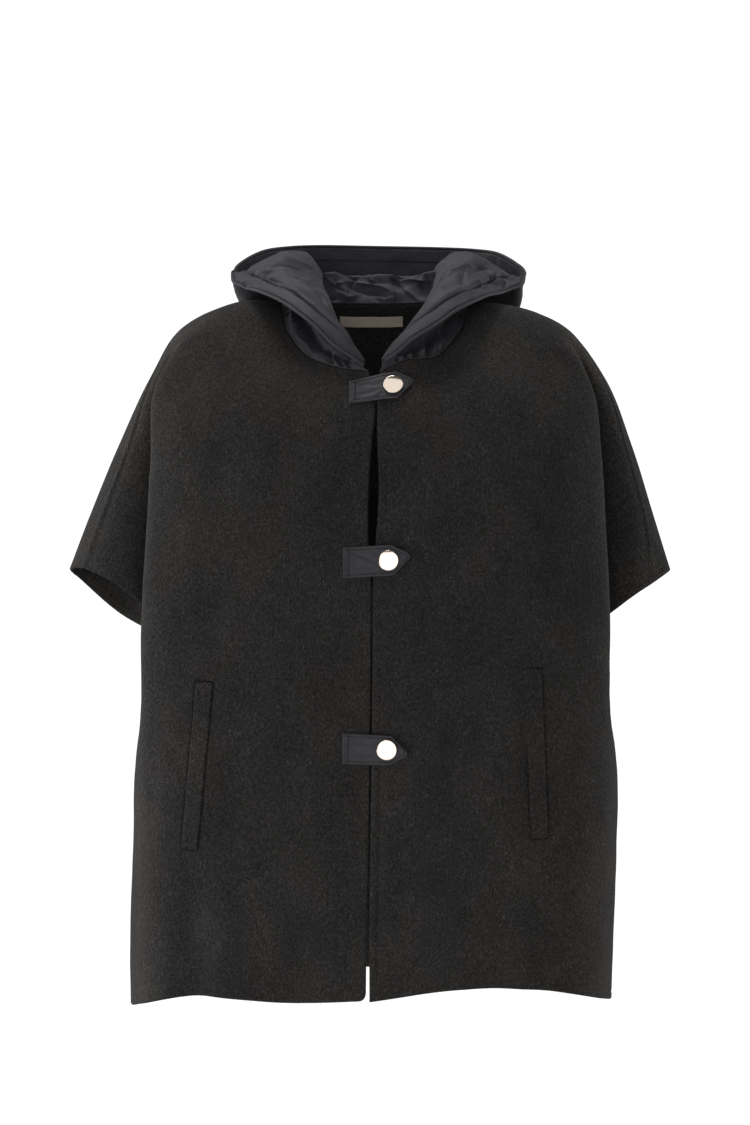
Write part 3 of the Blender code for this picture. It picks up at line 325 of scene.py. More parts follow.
def denser(places: list[float], low: float, high: float, step: float) -> list[float]:
    """The places, with those between low and high replaced by a closer, even run."""
    return [place for place in places if not low < place < high] + list(runs((low, high, step)))


def rough(points: Array, seed: float, ridged: bool = False) -> Array:
    """Smooth noise at each point, about -1 to 1.

    Args:
        points: Points whose last axis holds three coordinates, in units of one feature.
        seed: Shifts the pattern.
        ridged: Whether to fold the noise into sharp crests.

    Returns:
        One value per point.
    """
    flat = points.reshape(-1, 3) + seed
    values = np.array([noise.noise(Vector(row)) for row in flat]).reshape(points.shape[:-1])
    return 1 - 4 * np.abs(values) if ridged else 2 * values


def facets(points: Array, size: float, seed: int, ways: int = 3) -> Array:
    """Flat facets that meet at straight creases, about -1 to 1, as in crumpled papery nylon.

    Args:
        points: Points, millimetres.
        size: Distance from one crease to the next but one, millimetres.
        seed: Shifts the pattern.
        ways: How many directions the creases run in.

    Returns:
        One value per point.
    """
    pick = np.random.default_rng(seed)
    total = np.zeros(points.shape[:-1])
    for way in range(ways):
        along = points @ unit(pick.normal(size=3)) / (size * pick.uniform(0.7, 1.4))
        along = along + pick.random() + 0.4 * rough(points / (1.9 * size), seed + 3.3 * way)
        total += 4 * np.abs(along - np.round(along)) - 1
    return total / math.sqrt(ways)


def crease_depth(creases: tuple[Crease, ...], lane: Array, level: Array) -> Array:
    """How deep a set of creases is at each lane and level.

    Args:
        creases: The creases.
        lane: Lane of each point.
        level: Level of each point.

    Returns:
        Depth inward, millimetres; negative stands out.
    """
    depth = np.zeros(np.broadcast(lane, level).shape)
    for crease in creases:
        a = np.array(crease.start, float)
        along = np.array(crease.end, float) - a
        share = ((lane - a[0]) * along[0] + (level - a[1]) * along[1]) / float(along @ along)
        held = np.clip(share, 0.0, 1.0)
        apart = np.hypot(lane - a[0] - held * along[0], level - a[1] - held * along[1])
        taper = np.sqrt(np.clip(np.sin(math.pi * np.clip(share, 0.02, 0.98)), 0, 1))
        depth += crease.depth * taper * np.exp(-((apart / crease.width) ** 2))
    return depth


# ---- Finishes ----


class Chart:
    """A material's node chart, with short ways to add and join nodes."""

    def __init__(self, name: str) -> None:
        """Start a material that holds one Principled shader."""
        self.material = bpy.data.materials.new(name)
        self.material.use_nodes = True
        self.nodes = self.material.node_tree.nodes
        self.links = self.material.node_tree.links
        self.shader = self.nodes["Principled BSDF"]

    def add(self, kind: str, settings: dict | None = None, **sockets: object) -> bpy.types.Node:
        """Add a node.

        Args:
            kind: Blender's name of the node type, without ShaderNode at its start.
            settings: Properties to set on the node.
            sockets: Input values or output sockets to join, by input name with _ for spaces.

        Returns:
            The new node.
        """
        node = self.nodes.new("ShaderNode" + kind)
        for key, value in (settings or {}).items():
            setattr(node, key, value)
        for key, value in sockets.items():
            self.feed(node, key.replace("_", " "), value)
        return node

    def feed(self, node: bpy.types.Node, key: str | int, value: object) -> None:
        """Set an input's value, or join an output to it."""
        socket = node.inputs[key]
        if isinstance(value, Socket):
            self.links.new(value, socket)
        else:
            socket.default_value = value

    def weave(self, scale: Point) -> Socket:
        """Cloth coordinates, metres across and down the cloth, stretched by scale."""
        place = self.add("Attribute", dict(attribute_name="weave"))
        return self.add("Mapping", Vector=place.outputs["Vector"], Scale=scale).outputs[0]

    def bent(self, scale: Point, across: object, down: object, reach: float) -> Socket:
        """Stretched cloth coordinates bent sideways and lengthways by two values."""
        move = self.add("CombineXYZ", X=across, Y=down)
        pushed = self.add("VectorMath", dict(operation="SCALE"), Scale=reach)
        self.links.new(move.outputs[0], pushed.inputs[0])
        total = self.add("VectorMath", dict(operation="ADD"))
        self.links.new(self.weave(scale), total.inputs[0])
        self.links.new(pushed.outputs[0], total.inputs[1])
        return total.outputs[0]

    def noise(self, vector: Socket, detail: float = 3.0, **more: float) -> Socket:
        """Noise of unit scale over stretched coordinates."""
        return self.add("TexNoise", Vector=vector, Scale=1.0, Detail=detail, **more).outputs["Fac"]

    def threads(self, scales: Pair, waver: Pair) -> Socket:
        """Threads across and down the cloth, crossed."""
        across, down = (
            self.add("TexWave", dict(bands_direction=axis), Vector=self.weave((1, 1, 1)),
                     Scale=scale, Distortion=distortion).outputs["Fac"]
            for axis, scale, distortion in zip("XY", scales, waver)
        )
        return self.math("MULTIPLY", across, down)

    def ramp(self, fac: Socket, stops: tuple[tuple[float, tuple], ...]) -> Socket:
        """Colours along a value."""
        node = self.add("ValToRGB", Fac=fac)
        elements = node.color_ramp.elements
        while len(elements) < len(stops):
            elements.new(0.5)
        for element, (place, colour) in zip(elements, stops):
            element.position = place
            element.color = (*colour, 1.0)
        return node.outputs["Color"]

    def math(self, operation: str, first: object, second: object) -> Socket:
        """One sum, product or the like of two values."""
        node = self.add("Math", dict(operation=operation))
        self.feed(node, 0, first)
        self.feed(node, 1, second)
        return node.outputs[0]

    def tinted(self, colour: Socket, tint: Socket) -> Socket:
        """One colour multiplied by another."""
        mix = self.add("Mix", dict(data_type="RGBA", blend_type="MULTIPLY"))
        for place, value in ((0, 1.0), (6, colour), (7, tint)):
            self.feed(mix, place, value)
        return mix.outputs[2]

    def bump(self, height: Socket, distance: float, strength: float = 1.0,
             under: Socket | None = None) -> Socket:
        """A bump of a real height in metres, over another one if given."""
        node = self.add("Bump", Height=height, Distance=distance, Strength=strength)
        if under is not None:
            self.links.new(under, node.inputs["Normal"])
        return node.outputs["Normal"]

    def set(self, **sockets: object) -> None:
        """Set or join the shader's own inputs."""
        for key, value in sockets.items():
            self.feed(self.shader, key.replace("_", " "), value)


@dataclass(frozen=True)
class WoolFinish:
    """Brushed double-faced wool: near black, a soft nap that runs down, scattered lighter hairs."""

    name: str = "brushed_wool"
    deep: Point = (0.0104, 0.01, 0.0096)
    mid: Point = (0.0258, 0.025, 0.0241)
    hair: Point = (0.068, 0.067, 0.065)

    def make(self) -> Material:
        """Build the material."""
        chart = Chart(self.name)
        bend = chart.noise(chart.weave((110, 110, 110)), detail=1.0)
        turn = chart.noise(chart.weave((90, 130, 70)), detail=1.0)
        fibres = chart.noise(chart.bent((980, 520, 760), bend, turn, 2.2), detail=3.0, Roughness=0.7)
        tufts = chart.noise(chart.bent((430, 290, 380), turn, bend, 1.2), detail=2.0)
        both = chart.math("ADD", chart.math("MULTIPLY", fibres, 0.68), chart.math("MULTIPLY", tufts, 0.32))
        tone = chart.ramp(both, ((0.35, self.deep), (0.5, self.mid), (0.69, self.hair)))
        patches = chart.noise(chart.weave((21, 12, 16)), detail=4.0, Roughness=0.62)
        shades = ((0.28, (0.74, 0.745, 0.76)), (0.5, (0.98, 0.98, 0.98)), (0.72, (1.26, 1.22, 1.2)))
        shade = chart.ramp(patches, shades)
        broad = chart.noise(chart.weave((6.5, 4.5, 6)), detail=2.0, Roughness=0.6)
        tint = chart.ramp(broad, ((0.36, (0.9, 0.93, 0.96)), (0.62, (1.12, 1.06, 1.02))))
        mix = chart.tinted(chart.tinted(tone, shade), tint)
        low = chart.bump(tufts, 0.0016, 0.8)
        normal = chart.bump(fibres, 0.0008, 0.9, under=low)
        chart.set(
            Base_Color=mix, Roughness=0.95, Normal=normal, Specular_IOR_Level=0.12,
            Sheen_Weight=0.1, Sheen_Roughness=0.42, Sheen_Tint=(0.62, 0.6, 0.6, 1.0),
        )
        return chart.material


@dataclass(frozen=True)
class NapFinish:
    """Single hairs of the nap, each with its own tone."""

    name: str = "wool_hairs"
    dark: Point = (0.014, 0.0138, 0.0134)
    light: Point = (0.27, 0.265, 0.255)

    def make(self) -> Material:
        """Build the material."""
        chart = Chart(self.name)
        tone = chart.add("Attribute", dict(attribute_name="tone"))
        colour = chart.ramp(tone.outputs["Fac"], ((0.0, self.dark), (0.72, self.dark), (1.0, self.light)))
        chart.set(Base_Color=colour, Roughness=0.8, Specular_IOR_Level=0.2)
        return chart.material


@dataclass(frozen=True)
class NylonFinish:
    """Crisp papery nylon: dark slate with a slight violet cast, fine creases and a plain weave."""

    name: str = "crisp_nylon"
    low: Point = (0.0388, 0.0369, 0.0428)
    high: Point = (0.0525, 0.05, 0.0575)
    crinkle: float = 0.0005

    def make(self) -> Material:
        """Build the material."""
        chart = Chart(self.name)
        broad = chart.noise(chart.weave((55, 75, 60)), detail=2.0, Distortion=0.6)
        tone = chart.ramp(broad, ((0.3, self.low), (0.7, self.high)))
        creased = chart.noise(chart.weave((90, 120, 90)), detail=3.0, Distortion=0.8, Roughness=0.5)
        sharp = chart.math("ABSOLUTE", chart.math("SUBTRACT", creased, 0.5), 0.0)
        cloth = chart.threads((420.0, 420.0), (0.4, 0.4))
        first = chart.bump(sharp, self.crinkle, 0.4)
        normal = chart.bump(cloth, 0.00006, 0.5, under=first)
        gloss = chart.add("MapRange", Value=broad, From_Min=0.3, From_Max=0.7, To_Min=0.56, To_Max=0.66)
        chart.set(
            Base_Color=tone, Roughness=gloss.outputs[0], Normal=normal, Specular_IOR_Level=0.22,
            Sheen_Weight=0.06, Sheen_Roughness=0.4, Sheen_Tint=(0.7, 0.68, 0.8, 1.0),
        )
        return chart.material


@dataclass(frozen=True)
class ThreadFinish:
    """Twisted sewing thread."""

    name: str
    colour: Point

    def make(self) -> Material:
        """Build the material."""
        chart = Chart(self.name)
        place = chart.add("TexCoord").outputs["Object"]
        twist = chart.add("TexWave", dict(bands_direction="DIAGONAL"), Vector=place, Scale=900.0)
        dark = tuple(0.6 * value for value in self.colour)
        tone = chart.ramp(twist.outputs["Fac"], ((0.2, dark), (0.8, self.colour)))
        normal = chart.bump(twist.outputs["Fac"], 0.0001, 0.5)
        chart.set(Base_Color=tone, Roughness=0.6, Normal=normal, Specular_IOR_Level=0.3)
        return chart.material


@dataclass(frozen=True)
class MetalFinish:
    """Polished metal with faint turning marks."""

    name: str
    colour: Point
    roughness: float

    def make(self) -> Material:
        """Build the material."""
        chart = Chart(self.name)
        place = chart.add("TexCoord").outputs["Object"]
        marks = chart.add("TexNoise", Vector=place, Scale=1800.0, Detail=3.0).outputs["Fac"]
        spread = chart.add("MapRange", Value=marks, To_Min=self.roughness * 0.7,
                           To_Max=self.roughness * 1.4)
        warm = tuple(0.94 * value for value in self.colour)
        tone = chart.ramp(marks, ((0.35, warm), (0.65, self.colour)))
        chart.set(Base_Color=tone, Roughness=spread.outputs[0], Metallic=1.0)
        return chart.material


@dataclass(frozen=True)
class TapeFinish:
    """Woven satin tape of the bare label."""

    name: str = "label_tape"
    low: Point = (0.6, 0.52, 0.405)
    high: Point = (0.78, 0.7, 0.57)

    def make(self) -> Material:
        """Build the material."""
        chart = Chart(self.name)
        threads = chart.threads((330.0, 520.0), (1.0, 0.5))
        uneven = chart.noise(chart.weave((260, 900, 300)), detail=3.0)
        tone = chart.ramp(uneven, ((0.25, self.low), (0.7, self.high)))
        normal = chart.bump(threads, 0.0001, 0.7)
        chart.set(Base_Color=tone, Roughness=0.62, Normal=normal, Specular_IOR_Level=0.3,
                  Sheen_Weight=0.1, Sheen_Roughness=0.4)
        return chart.material


@dataclass(frozen=True)
class FloorFinish:
    """Plain pale studio floor that fades out at its rim."""

    name: str = "pale_floor"
    colour: Point = (0.9, 0.9, 0.9)
    full: float = 0.9
    gone: float = 1.6

    def make(self) -> Material:
        """Build the material."""
        chart = Chart(self.name)
        place = chart.add("TexCoord").outputs["Object"]
        far = chart.add("VectorMath", dict(operation="LENGTH"))
        chart.links.new(place, far.inputs[0])
        fade = chart.add("MapRange", dict(interpolation_type="SMOOTHSTEP"), Value=far.outputs["Value"],
                         From_Min=self.full, From_Max=self.gone, To_Min=1.0, To_Max=0.0)
        chart.set(
            Base_Color=(*self.colour, 1.0), Roughness=0.9, Specular_IOR_Level=0.1, Alpha=fade.outputs[0]
        )
        return chart.material


class Finishes:
    """Every finish of the garment, made once."""

    def __init__(self) -> None:
        """Make the materials."""
        self.wool = WoolFinish().make()
        self.nap = NapFinish().make()
        self.nylon = NylonFinish().make()
        # Near-black thread: its darkness is partly the thread's own colour and partly painted shade of the
        # small pits where the stitches sink into the nylon.
        self.thread_and_pit_shade = ThreadFinish("thread_and_pit_shade", (0.006, 0.0058, 0.0065)).make()
        self.pale_thread = ThreadFinish("pale_thread", (0.42, 0.38, 0.3)).make()
        self.gold = MetalFinish("pale_gold", (0.93, 0.8, 0.68), 0.09).make()
        self.stud = MetalFinish("satin_gold", (0.72, 0.62, 0.5), 0.3).make()
        self.tape = TapeFinish().make()
        self.floor = FloorFinish().make()


# ---- Mesh making ----


class Shape:
    """Points and faces gathered for one mesh, in millimetres."""

    def __init__(self) -> None:
        """Start with nothing."""
        self.points: list[Array] = []
        self.faces: list[Array] = []
        self.weaves: list[Array] = []
        self.tones: list[Array] = []
        self.count = 0

    def add(self, points: Array, faces: Array, weave: Array | None = None,
            tone: Array | None = None) -> None:
        """Add points and the faces between them.

        Args:
            points: Points, one per row.
            faces: Rows of indices into these points, of one length.
            weave: Cloth coordinates in millimetres, one row per point.
            tone: A tone from 0 to 1 for each point.
        """
        self.points.append(points)
        self.faces.append(faces + self.count)
        self.weaves.append(points if weave is None else weave)
        self.tones.append(np.zeros(len(points)) if tone is None else tone)
        self.count += len(points)

    def mesh(self, name: str, material: Material) -> Piece:
        """Put what was gathered in the scene as one smooth object.

        Args:
            name: The object's name.
            material: Its finish.

        Returns:
            The new object.
        """
        points = np.concatenate(self.points) * MM
        mesh = bpy.data.meshes.new(name)
        sizes = np.concatenate([np.full(len(faces), faces.shape[1]) for faces in self.faces])
        corners = np.concatenate([faces.ravel() for faces in self.faces]).astype(np.int32)
        mesh.vertices.add(len(points))
        mesh.vertices.foreach_set("co", points.astype(np.float32).ravel())
        mesh.loops.add(len(corners))
        mesh.loops.foreach_set("vertex_index", corners)
        mesh.polygons.add(len(sizes))
        mesh.polygons.foreach_set("loop_start", (np.cumsum(sizes) - sizes).astype(np.int32))
        mesh.update(calc_edges=True)
        mesh.validate()
        weave = mesh.attributes.new("weave", "FLOAT_VECTOR", "POINT")
        weave.data.foreach_set("vector", (np.concatenate(self.weaves) * MM).astype(np.float32).ravel())
        tone = mesh.attributes.new("tone", "FLOAT", "POINT")
        tone.data.foreach_set("value", np.concatenate(self.tones).astype(np.float32))
        mesh.shade_smooth()
        mesh.materials.append(material)
        thing = bpy.data.objects.new(name, mesh)
        bpy.context.collection.objects.link(thing)
        return thing


def grid_faces(cells: Array, start: int = 0, flip: bool = False) -> Array:
    """Quads over the kept cells of a grid.

    Args:
        cells: Which cells are kept, [row, column].
        start: Index of the grid's first point.
        flip: Whether the faces turn the other way.

    Returns:
        Rows of four indices.
    """
    rows, columns = np.nonzero(cells)
    wide = cells.shape[1] + 1
    first = start + rows * wide + columns
    quads = np.stack([first, first + 1, first + wide + 1, first + wide], axis=1)
    return quads[:, ::-1] if flip else quads


def rim_faces(cells: Array, behind: int) -> Array:
    """Quads that close a wall round the kept cells, between a grid and its copy.

    Args:
        cells: Which cells are kept, [row, column].
        behind: Index distance from a point to its copy on the far side.

    Returns:
        Rows of four indices.
    """
    rows, columns = cells.shape
    wide = columns + 1
    framed = np.zeros((rows + 2, columns + 2), bool)
    framed[1:-1, 1:-1] = cells
    sides = (
        (framed[:-2, 1:-1], (0, 0), (0, 1)),
        (framed[1:-1, 2:], (0, 1), (1, 1)),
        (framed[2:, 1:-1], (1, 1), (1, 0)),
        (framed[1:-1, :-2], (1, 0), (0, 0)),
    )
    quads = []
    for beside, begin, end in sides:
        r, c = np.nonzero(cells & ~beside)
        a = (r + begin[0]) * wide + c + begin[1]
        b = (r + end[0]) * wide + c + end[1]
        quads.append(np.stack([b, a, a + behind, b + behind], axis=1))
    return np.concatenate(quads)


def wall(outer: Array, inner: Array, weave: Array, cells: Array | None = None) -> Shape:
    """Make a closed wall between two point grids.

    Args:
        outer: Outer points, [row, column].
        inner: Inner points, [row, column].
        weave: Cloth coordinates of the grid, millimetres.
        cells: Which cells are kept, or None for all.

    Returns:
        The wall.
    """
    rows, columns = outer.shape[:2]
    total = rows * columns
    if cells is None:
        cells = np.ones((rows - 1, columns - 1), bool)
    points = np.concatenate([outer.reshape(-1, 3), inner.reshape(-1, 3)])
    front = grid_faces(cells)
    a, b, d = (points[front[:, i]] for i in (0, 1, 3))
    facing = np.sum(np.cross(b - a, d - a) * (outer - inner).reshape(-1, 3)[front[:, 0]])
    flip = facing < 0
    front = grid_faces(cells, flip=flip)
    back = grid_faces(cells, start=total, flip=not flip)
    rim = rim_faces(cells, total)
    if flip:
        rim = rim[:, ::-1]
    used = np.zeros(2 * total, bool)
    faces = np.concatenate([front, back, rim])
    used[faces.ravel()] = True
    index = np.cumsum(used) - 1
    both = np.concatenate([weave.reshape(-1, 3)] * 2)
    shape = Shape()
    shape.add(points[used], index[faces], both[used])
    return shape


def lengths_along(points: Array, axis: int) -> Array:
    """Arc length along one axis of a point grid, from its first row or column."""
    steps = np.linalg.norm(np.diff(points, axis=axis), axis=-1)
    pad = [(0, 0), (0, 0)]
    pad[axis] = (1, 0)
    return np.cumsum(np.pad(steps, pad), axis=axis)


def cloth_places(points: Array) -> Array:
    """Cloth coordinates of a grid in millimetres: across along its columns, down along its rows."""
    across = lengths_along(points, 1)
    down = lengths_along(points, 0)
    across = across - across[:, [across.shape[1] // 2]]
    return np.stack([across, down, np.zeros_like(down)], axis=-1)


def hung_places(points: Array) -> Array:
    """Cloth coordinates of the hanging wool in millimetres: x, the way down, and y."""
    return np.stack([points[..., 0], -points[..., 2], points[..., 1]], axis=-1)


def tube_faces(rings: int, around: int) -> Array:
    """Quads between rings of points, each ring closed on itself."""
    here = np.arange(around)
    after = (here + 1) % around
    start = around * np.arange(rings - 1)[:, None]
    quads = np.stack([start + here, start + after, start + around + after, start + around + here], axis=2)
    return quads.reshape(-1, 4)


def lathe(centre: Array, axis: Array, profile: list[Pair], segments: int) -> Shape:
    """Make a turned solid about an axis.

    Args:
        centre: A point on the axis.
        axis: The axis, length 1.
        profile: Radius and height pairs from axis to axis.
        segments: Points round the axis.

    Returns:
        The solid.
    """
    across = unit(np.cross(axis, (0.0, 0.0, 1.0)))
    up = np.cross(across, axis)
    turns = np.linspace(0, 2 * math.pi, segments, endpoint=False)
    ring = across * np.cos(turns)[:, None] + up * np.sin(turns)[:, None]
    rows = np.array([centre + axis * height + ring * max(radius, 1e-3) for radius, height in profile])
    shape = Shape()
    shape.add(rows.reshape(-1, 3), tube_faces(len(profile), segments))
    return shape


# One stitch: places along its length, height there in thread radii, and points round the thread
STITCH_SHARES = (0.0, 0.16, 0.5, 0.84, 1.0)
STITCH_HEIGHTS = (-0.7, 0.35, 0.8, 0.35, -0.7)
STITCH_TURNS = np.linspace(0, 2 * math.pi, 5, endpoint=False)[:, None]


def stitch(shape: Shape, start: Array, end: Array, normal: Array, radius: float) -> None:
    """Add one stitch of thread, a low arc that dives in at both ends.

    Args:
        shape: Takes the stitch.
        start: Where the thread comes out, on the cloth.
        end: Where it goes in.
        normal: Outward normal of the cloth.
        radius: Half the thread's width.
    """
    along = unit(end - start)
    side = np.cross(normal, along)
    rows = []
    for share, height in zip(STITCH_SHARES, STITCH_HEIGHTS):
        middle = start + (end - start) * share + normal * height * radius
        rows.append(middle + radius * (side * np.cos(STITCH_TURNS) + normal * np.sin(STITCH_TURNS)))
    shape.add(np.concatenate(rows), tube_faces(len(rows), len(STITCH_TURNS)))


def stitch_line(shape: Shape, line: Array, normals: Array, pitch: float, share: float,
                radius: float) -> None:
    """Add evenly spaced stitches along a line on the cloth.

    Args:
        shape: Takes the stitches.
        line: Points along the line.
        normals: Outward normals at them.
        pitch: Distance from stitch to stitch.
        share: How much of the pitch the thread shows.
        radius: Half the thread's width.
    """
    steps = np.concatenate([[0.0], np.cumsum(np.linalg.norm(np.diff(line, axis=0), axis=1))])

    def read(values: Array, place: float) -> Array:
        return np.array([np.interp(place, steps, values[:, axis]) for axis in range(3)])

    for i in range(int(steps[-1] / pitch)):
        start, middle, end = i * pitch, (i + 0.5 * share) * pitch, (i + share) * pitch
        stitch(shape, read(line, start), read(line, end), unit(read(normals, middle)), radius)


def dress(thing: Piece, slot: str, *nodes: str) -> Piece:
    """Let a piece ride on the body and stand for solids.

    Args:
        thing: The piece.
        slot: Not used.
        nodes: Solids that it stands for.

    Returns:
        The same piece.
    """
    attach(thing, "root")
    if nodes:
        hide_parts(*nodes)
    LOG.info("%s: %d faces", thing.name, len(thing.data.polygons))
    return thing


def shown_area(piece: Piece, flat: Pair) -> float:
    """Square metres of cloth that a piece shows, at most its flat size."""
    area = sum(face.area for face in piece.data.polygons) / 2
    LOG.info("%s: %.4f square metres of cloth", piece.name, area)
    return min(flat[0] * flat[1], area)


# ---- The cloth's plan ----


@dataclass
class ClothPlan:
    """Where the wool and the hood lie, from the ring and profile tables."""

    wool_wall: float = 3.0
    nylon_wall: float = 1.2
    seam_rise: float = 0.5
    seam_read_depth: float = 6.0
    seam_half_gap: float = 0.2
    underarm_thinning: float = 0.35
    thin_from: float = 6.0
    thin_to: float = 45.0
    band_width: float = 18.0
    neck_lanes: Array = field(default_factory=lambda: runs((0.0, ROUND, 8.0)))

    def __post_init__(self) -> None:
        """List the columns of rings and hood profiles round the garment."""
        names = list(LANES)
        right = [(LANES[name], RIGHT_RINGS, name, -1.0) for name in names]
        left = [(ROUND - LANES[name], LEFT_RINGS, name, 1.0) for name in reversed(names[:-1])]
        self.columns = right + left
        hood = [(lane, -1.0, row) for lane, row in RIGHT_HOOD]
        hood += [(MIDDLE_HOOD[0], 1.0, MIDDLE_HOOD[1])]
        hood += [(ROUND - lane, 1.0, row) for lane, row in reversed(LEFT_HOOD)]
        self.hood_lanes = [column[0] for column in hood]
        self.hood_table = np.array([[(s * x, y, z) for x, y, z in row] for _, s, row in hood], float)

    @staticmethod
    def lower_lane(lane: float) -> float:
        """A lane's place below the underarm, where the ring has no sleeve."""
        if lane <= LANES["valley"]:
            return lane
        if lane <= ROUND - LANES["back_valley"]:
            return lane - ARM_SPAN
        return lane - 2 * ARM_SPAN

    @staticmethod
    def column_curve(rings: Table, name: str, sign: float, levels: Array) -> Array:
        """Points down one lane at the levels."""
        knots, points = [], []
        for ring, level in LEVELS.items():
            below = level > UNDERARM
            order = BODY_LANES if below else tuple(LANES)
            place = "valley" if below and name == "back_valley" else name
            if place not in order:
                continue
            x, y, z = rings[ring][order.index(place)]
            knots.append(level)
            points.append((sign * x, y, z))
        return spline_weights(np.array(knots), levels) @ np.array(points, float)

    def ring_points(self, levels: Array, lanes: Array, lower: bool) -> Array:
        """Outer points [level, lane] of the plain cloth, before its folds."""
        kept = [column for column in self.columns if not lower or column[2] in BODY_LANES]
        curves = np.stack([self.column_curve(c[1], c[2], c[3], levels) for c in kept], axis=1)
        knots = [self.lower_lane(column[0]) if lower else column[0] for column in kept]
        return np.einsum("mk,nkc->nmc", spline_weights(np.array(knots), lanes), curves)

    @staticmethod
    def fold_depth(points: Array) -> Array:
        """How far inward the named folds push each plain point."""
        x, y, z = points[..., 0], points[..., 1], points[..., 2]
        depth = np.zeros(points.shape[:-1])
        for fold in FOLDS:
            along = np.clip((fold.z_top - z) / (fold.z_top - fold.z_bottom), 0.0, 1.0)
            middle = fold.x_top + (fold.x_bottom - fold.x_top) * along
            form = np.exp(-(((x - middle) / fold.half_width) ** 2)) * smooth_step(0.0, FOLD_GROWTH, along)
            form = form * ((y < 0) if fold.face is Face.FRONT else (y > BACK_FROM_Y))
            if fold.z_bottom > HEM_FLOOR:
                form = form * smooth_step(fold.z_bottom - FOLD_END_RUN, fold.z_bottom, z)
            depth += fold.depth * form
        return depth

    def cloth(self, levels: Array, lanes: Array, lower: bool) -> ArrayPair:
        """Outer points and outward normals of the wool, both [level, lane]."""
        levels = np.asarray(levels, float)
        lanes = np.array([self.lower_lane(lane) if lower else lane for lane in lanes], float)
        last_lane = self.lower_lane(ROUND) if lower else ROUND
        low_end, high_end = (UNDERARM, HEM) if lower else (NECK, UNDERARM)
        down = self.ring_points(np.minimum(levels + 1, high_end), lanes, lower)
        down = down - self.ring_points(np.maximum(levels - 1, low_end), lanes, lower)
        ahead = self.ring_points(levels, np.minimum(lanes + 1, last_lane), lower)
        behind = self.ring_points(levels, np.maximum(lanes - 1, 0), lower)
        plain = self.ring_points(levels, lanes, lower)
        normals = unit(np.cross(ahead - behind, down))
        return plain - normals * self.fold_depth(plain)[..., None], normals

    def wall_at(self, points: Array) -> Array:
        """The wool's wall at each point, thinner where front and back meet under the arm."""
        walls = np.full(points.shape[:-1], self.wool_wall)
        for rings, sign in ((RIGHT_RINGS, -1.0), (LEFT_RINGS, 1.0)):
            x, y, z = rings["underarm"][tuple(LANES).index("valley")]
            apart = np.linalg.norm(points - np.array((sign * x, y, z)), axis=-1)
            full = smooth_step(self.thin_from, self.thin_to, apart)
            walls *= self.underarm_thinning + (1 - self.underarm_thinning) * full
        return walls

    def pulled_in(self, edge: Array, normal: Array, beside: Array) -> Array:
        """A seam's points moved into their own piece by half the seam's gap."""
        inward = unit(np.cross(normal, np.gradient(edge, axis=0)))
        side = np.sign(np.sum(inward * (beside - edge), axis=1, keepdims=True))
        return edge + inward * side * self.seam_half_gap

    def neck_seam(self, lanes: Array) -> Array:
        """Where the hood's outer face starts, just above the wool's cut edge."""
        points, normals = self.cloth(np.array([NECK, NECK + self.seam_read_depth]), self.neck_lanes, False)
        up = unit(points[0] - points[1])
        starts = points[0] - normals[0] * (self.wool_wall - self.nylon_wall) / 2 + up * self.seam_rise
        return np.stack([np.interp(lanes, self.neck_lanes, starts[:, i]) for i in range(3)], axis=1)

    def hood_plain(self, lanes: Array, places: Array) -> Array:
        """Outer points of the plain hood; places is [lane, place]."""
        shaped = np.einsum("mk,kpc->mpc", spline_weights(np.array(self.hood_lanes), lanes), self.hood_table)
        whole = np.concatenate([self.neck_seam(lanes)[:, None, :], shaped], axis=1)
        steps = np.array(list(HOOD_STEPS.values()))
        weights = spline_weights(steps, places.ravel()).reshape(*places.shape, len(steps))
        return np.einsum("lpk,lkc->lpc", weights, whole)

    def hood_normals(self, lanes: Array, places: Array) -> Array:
        """Outward normals of the plain hood, [lane, place]."""
        ahead = self.hood_plain(np.minimum(lanes + 1, ROUND), places)
        behind = self.hood_plain(np.maximum(lanes - 1, 0), places)
        further = self.hood_plain(lanes, np.minimum(places + 1, RIM))
        nearer = self.hood_plain(lanes, np.maximum(places - 1, 0))
        return unit(np.cross(further - nearer, ahead - behind))

    def place_before_rim(self, lanes: Array, distances: tuple[float, ...]) -> Array:
        """Places on the hood that lie the given distances in from the rim, [lane, distance]."""
        fine, from_rim = self.rim_profiles(lanes)
        return np.array([np.interp([-d for d in distances], -row, fine) for row in from_rim])

    def rim_profiles(self, lanes: Array) -> ArrayPair:
        """Fine places between ridge and rim, and how far in from the rim each lies at each lane."""
        fine = np.linspace(RIDGE + 6.0, RIM, 120)
        profiles = self.hood_plain(lanes, np.tile(fine, (len(lanes), 1)))
        steps = np.linalg.norm(np.diff(profiles, axis=1), axis=2)
        ends = np.zeros((len(lanes), 1))
        return fine, np.concatenate([np.cumsum(steps[:, ::-1], axis=1)[:, ::-1], ends], axis=1)

    def rim_distances(self, lanes: Array, places: Array) -> Array:
        """How far in from the rim each place lies, [lane, place]."""
        fine, from_rim = self.rim_profiles(lanes)
        return np.array([np.interp(row, fine, apart) for row, apart in zip(places, from_rim)])

    def hood_line(self, spots: tuple[Pair, ...], per_span: int = 14) -> ArrayPair:
        """Points of the plain hood along (lane, place) spots, and the share of the way at each."""
        marks = np.linspace(0, len(spots) - 1, per_span * (len(spots) - 1) + 1)
        lanes, places = (np.interp(marks, np.arange(len(spots)), [spot[i] for spot in spots]) for i in (0, 1))
        order = np.argsort(lanes, kind="stable")
        points = np.zeros((len(marks), 3))
        points[order] = self.hood_plain(lanes[order], places[order][:, None])[:, 0]
        return points, marks / marks[-1]


